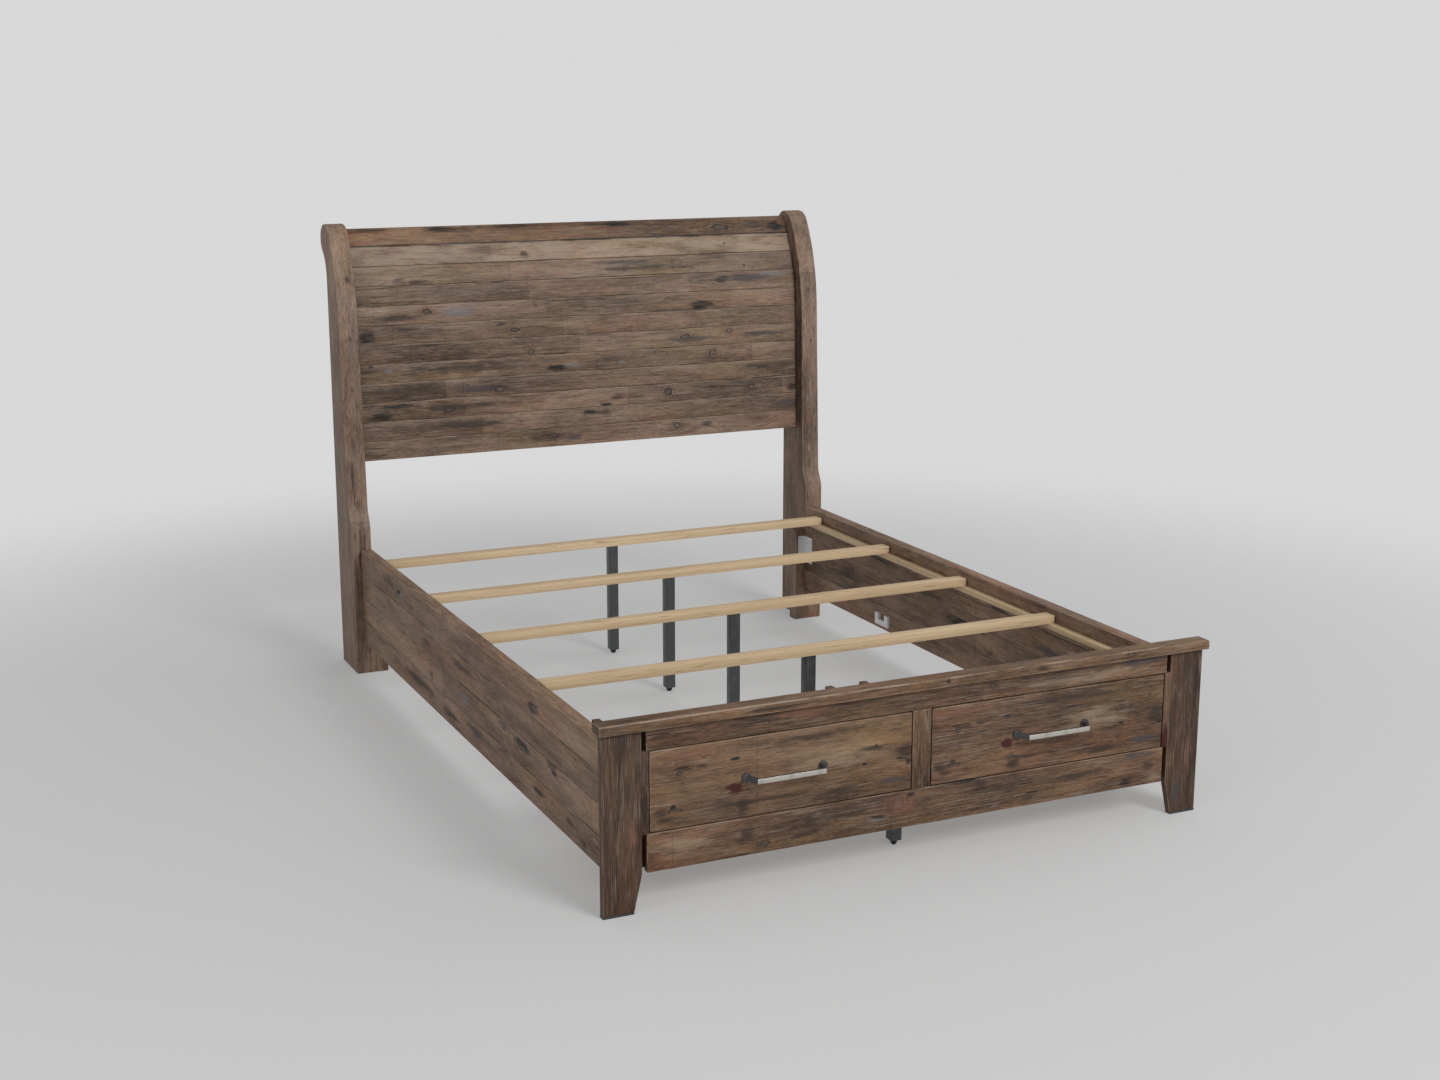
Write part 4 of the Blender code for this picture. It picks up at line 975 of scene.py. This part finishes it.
for number, side in enumerate(("left", "right")):
    for place in ("inner", "outer"):
        node = f"drawer_runner_{side}_{place}"
        piece = ease_edges(rough_out(node, f"runner_{side}_{place}"), 0.0008, 1)
        pine = pine_wood(f"runner_pine_{side}_{place}", "Y", 40.0 + number + len(place))
        fit(piece, pine, "frame", "pine", node)
cross_rail = ease_edges(rough_out("drawer_back_rail", "cross_rail"), 0.0015, 2)
fit(cross_rail, pine_wood("cross_rail_pine", "X", 51.0), "frame", "pine", "drawer_back_rail")


# ---- brackets and hangers -----------------------------------------------------------------------
# Zinc-plated steel: an angle in each corner of the frame, held by pan-head screws through its
# holes, and U-shaped hangers on the rails, which take the ends of a cross rail.

zinc = coated_metal("zinc_plate", (0.70, 0.71, 0.72), 0.44, 0.55, 400.0, 0.5, (0.42, 0.43, 0.44))
ANGLE_SHEET = 0.003
HOLE_FROM_MIDDLE = 0.0315  # up and down
HOLE_FROM_WALL = 0.044  # on the long flange
HOLE_FROM_RAIL = 0.0156  # on the short flange
SCREW_RADIUS = 0.0046
SCREW_RISE = 0.0021
RECESS_SHARE = 0.38  # of the head's radius
RECESS_DEPTH = 0.0009


def drive_screw(name, spot, turn, node):
    """A pan head with its recess, set down at a place and turned to face out."""
    head = turned_disc(name, 24, SCREW_RADIUS, SCREW_RISE, (0, 0, SCREW_RISE / 2))
    bpy.ops.mesh.inset(thickness=SCREW_RADIUS * (1 - RECESS_SHARE))
    bpy.ops.mesh.extrude_region_move(TRANSFORM_OT_translate={"value": (0, 0, -RECESS_DEPTH)})
    bpy.ops.object.mode_set(mode="OBJECT")
    ease_edges(head, 0.0006, 3)
    head.location = spot
    head.rotation_euler = turn
    only(head)
    bpy.ops.object.transform_apply(location=True, rotation=True, scale=True)
    return fit(head, zinc, "frame", "zinc_steel", node)


for side, outward in (("left", -1), ("right", 1)):
    for corner, towards in (("head", -1), ("foot", 1)):
        node = f"{corner}_bracket_{side}"
        low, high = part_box(node)
        corner_x = high.x if outward > 0 else low.x
        wall_y = high.y if towards < 0 else low.y
        angle = ease_edges(rough_out(node, f"angle_{corner}_{side}"), 0.0006, 2, 50)
        fit(angle, zinc, "frame", "zinc_steel", node)
        for end, rise in (("low", -HOLE_FROM_MIDDLE), ("high", HOLE_FROM_MIDDLE)):
            z = (low.z + high.z) / 2 + rise
            on_rail = (corner_x - outward * ANGLE_SHEET, wall_y + towards * HOLE_FROM_WALL, z)
            on_wall = (corner_x - outward * HOLE_FROM_RAIL, wall_y + towards * ANGLE_SHEET, z)
            name = f"screw_{corner}_{side}_{end}"
            drive_screw(f"{name}_rail", on_rail, (0, -outward * math.pi / 2, 0), node)
            drive_screw(f"{name}_wall", on_wall, (-towards * math.pi / 2, 0, 0), node)
    for place in ("back_rail", "spare"):
        node = f"{place}_hanger_{side}"
        hanger = ease_edges(rough_out(node, f"hanger_{place}_{side}"), 0.0012, 2, 50)
        fit(hanger, zinc, "frame", "zinc_steel", node)


# ---- floor, light and camera --------------------------------------------------------------------
# A pale studio: a floor that fades into the backdrop all round and glows a little near the bed, as
# painted light that softens its shadows, soft light from the front right and above, and the camera
# at a standing eye in front of the left foot corner.

BACKDROP = 0.690
FLOOR_TONE = 0.60
FLOOR_GLOW = 0.545  # painted light: how brightly the floor glows near the bed, so that its shadows stay soft
AMBIENT = 0.68
FADE_FROM = 1.4  # metres from the middle of the bed
FADE_TO = 4.3
bpy.ops.object.select_all(action="DESELECT")
bpy.ops.mesh.primitive_circle_add(vertices=96, radius=60, fill_type="NGON", location=(0, 0, 0))
studio_floor = bpy.context.object
studio_floor.name = "studio_floor"
floor_paint = bpy.data.materials.new("floor_paint")
floor_paint.use_nodes = True
tree = floor_paint.node_tree
shader = tree.nodes["Principled BSDF"]
shader.inputs["Base Color"].default_value = (FLOOR_TONE, FLOOR_TONE, FLOOR_TONE, 1)
shader.inputs["Roughness"].default_value = 0.85
shader.inputs["Specular IOR Level"].default_value = 0.1
where = add(tree, "ShaderNodeTexCoord").outputs["Object"]
far = vector_node(tree, "LENGTH", where, output="Value")
level = ease_between(tree, far, FADE_FROM, FADE_TO, FLOOR_GLOW, BACKDROP)
glow = add(tree, "ShaderNodeEmission", {"Color": (1, 1, 1, 1), "Strength": level})
# near the bed 40 per cent of the floor is painted light that lifts its shadows; far off it is all backdrop
fade = add(tree, "ShaderNodeMixShader", {0: ease_between(tree, far, FADE_FROM, FADE_TO, 0.40, 1.0)})
tree.links.new(shader.outputs[0], fade.inputs[1])
tree.links.new(glow.outputs[0], fade.inputs[2])
tree.links.new(fade.outputs[0], tree.nodes["Material Output"].inputs["Surface"])
studio_floor.data.materials.append(floor_paint)

world = bpy.data.worlds.new("studio")
world.use_nodes = True
backdrop = world.node_tree.nodes["Background"]
backdrop.inputs["Color"].default_value = (BACKDROP, BACKDROP, BACKDROP, 1)
seen = add(world.node_tree, "ShaderNodeLightPath").outputs["Is Camera Ray"]
strength = ease_between(world.node_tree, seen, 0.0, 1.0, AMBIENT, 1.0)
world.node_tree.links.new(strength, backdrop.inputs["Strength"])
bpy.context.scene.world = world
bpy.context.scene.view_settings.view_transform = "Standard"

AIM = (0.0, 0.3, 0.5)
for name, spot, size, power in (
    ("front", (2.2, -8.5, 6.1), 3.4, 600),
    ("side", (5.6, 0.2, 4.4), 3.2, 60),
    ("fill", (-5.4, -3.4, 3.0), 3.6, 60),
):
    bpy.ops.object.light_add(type="AREA", location=spot)
    lamp = bpy.context.object
    lamp.name = f"{name}_light"
    lamp.data.shape = "SQUARE"
    lamp.data.size = size
    lamp.data.energy = power
    along = spot[0] - AIM[0]
    across = spot[1] - AIM[1]
    tilt = math.atan2(math.hypot(along, across), spot[2] - AIM[2])
    lamp.rotation_euler = (tilt, 0, math.atan2(along, -across))

bpy.ops.object.camera_add(location=(-2.3232, -5.0020, 1.8355), rotation=(math.pi / 2 - 0.2276, 0, -0.4349))
camera = bpy.context.object
camera.name = "camera"
camera.data.lens = 49.23
camera.data.sensor_width = 36.0
camera.data.clip_end = 200
bpy.context.scene.camera = camera
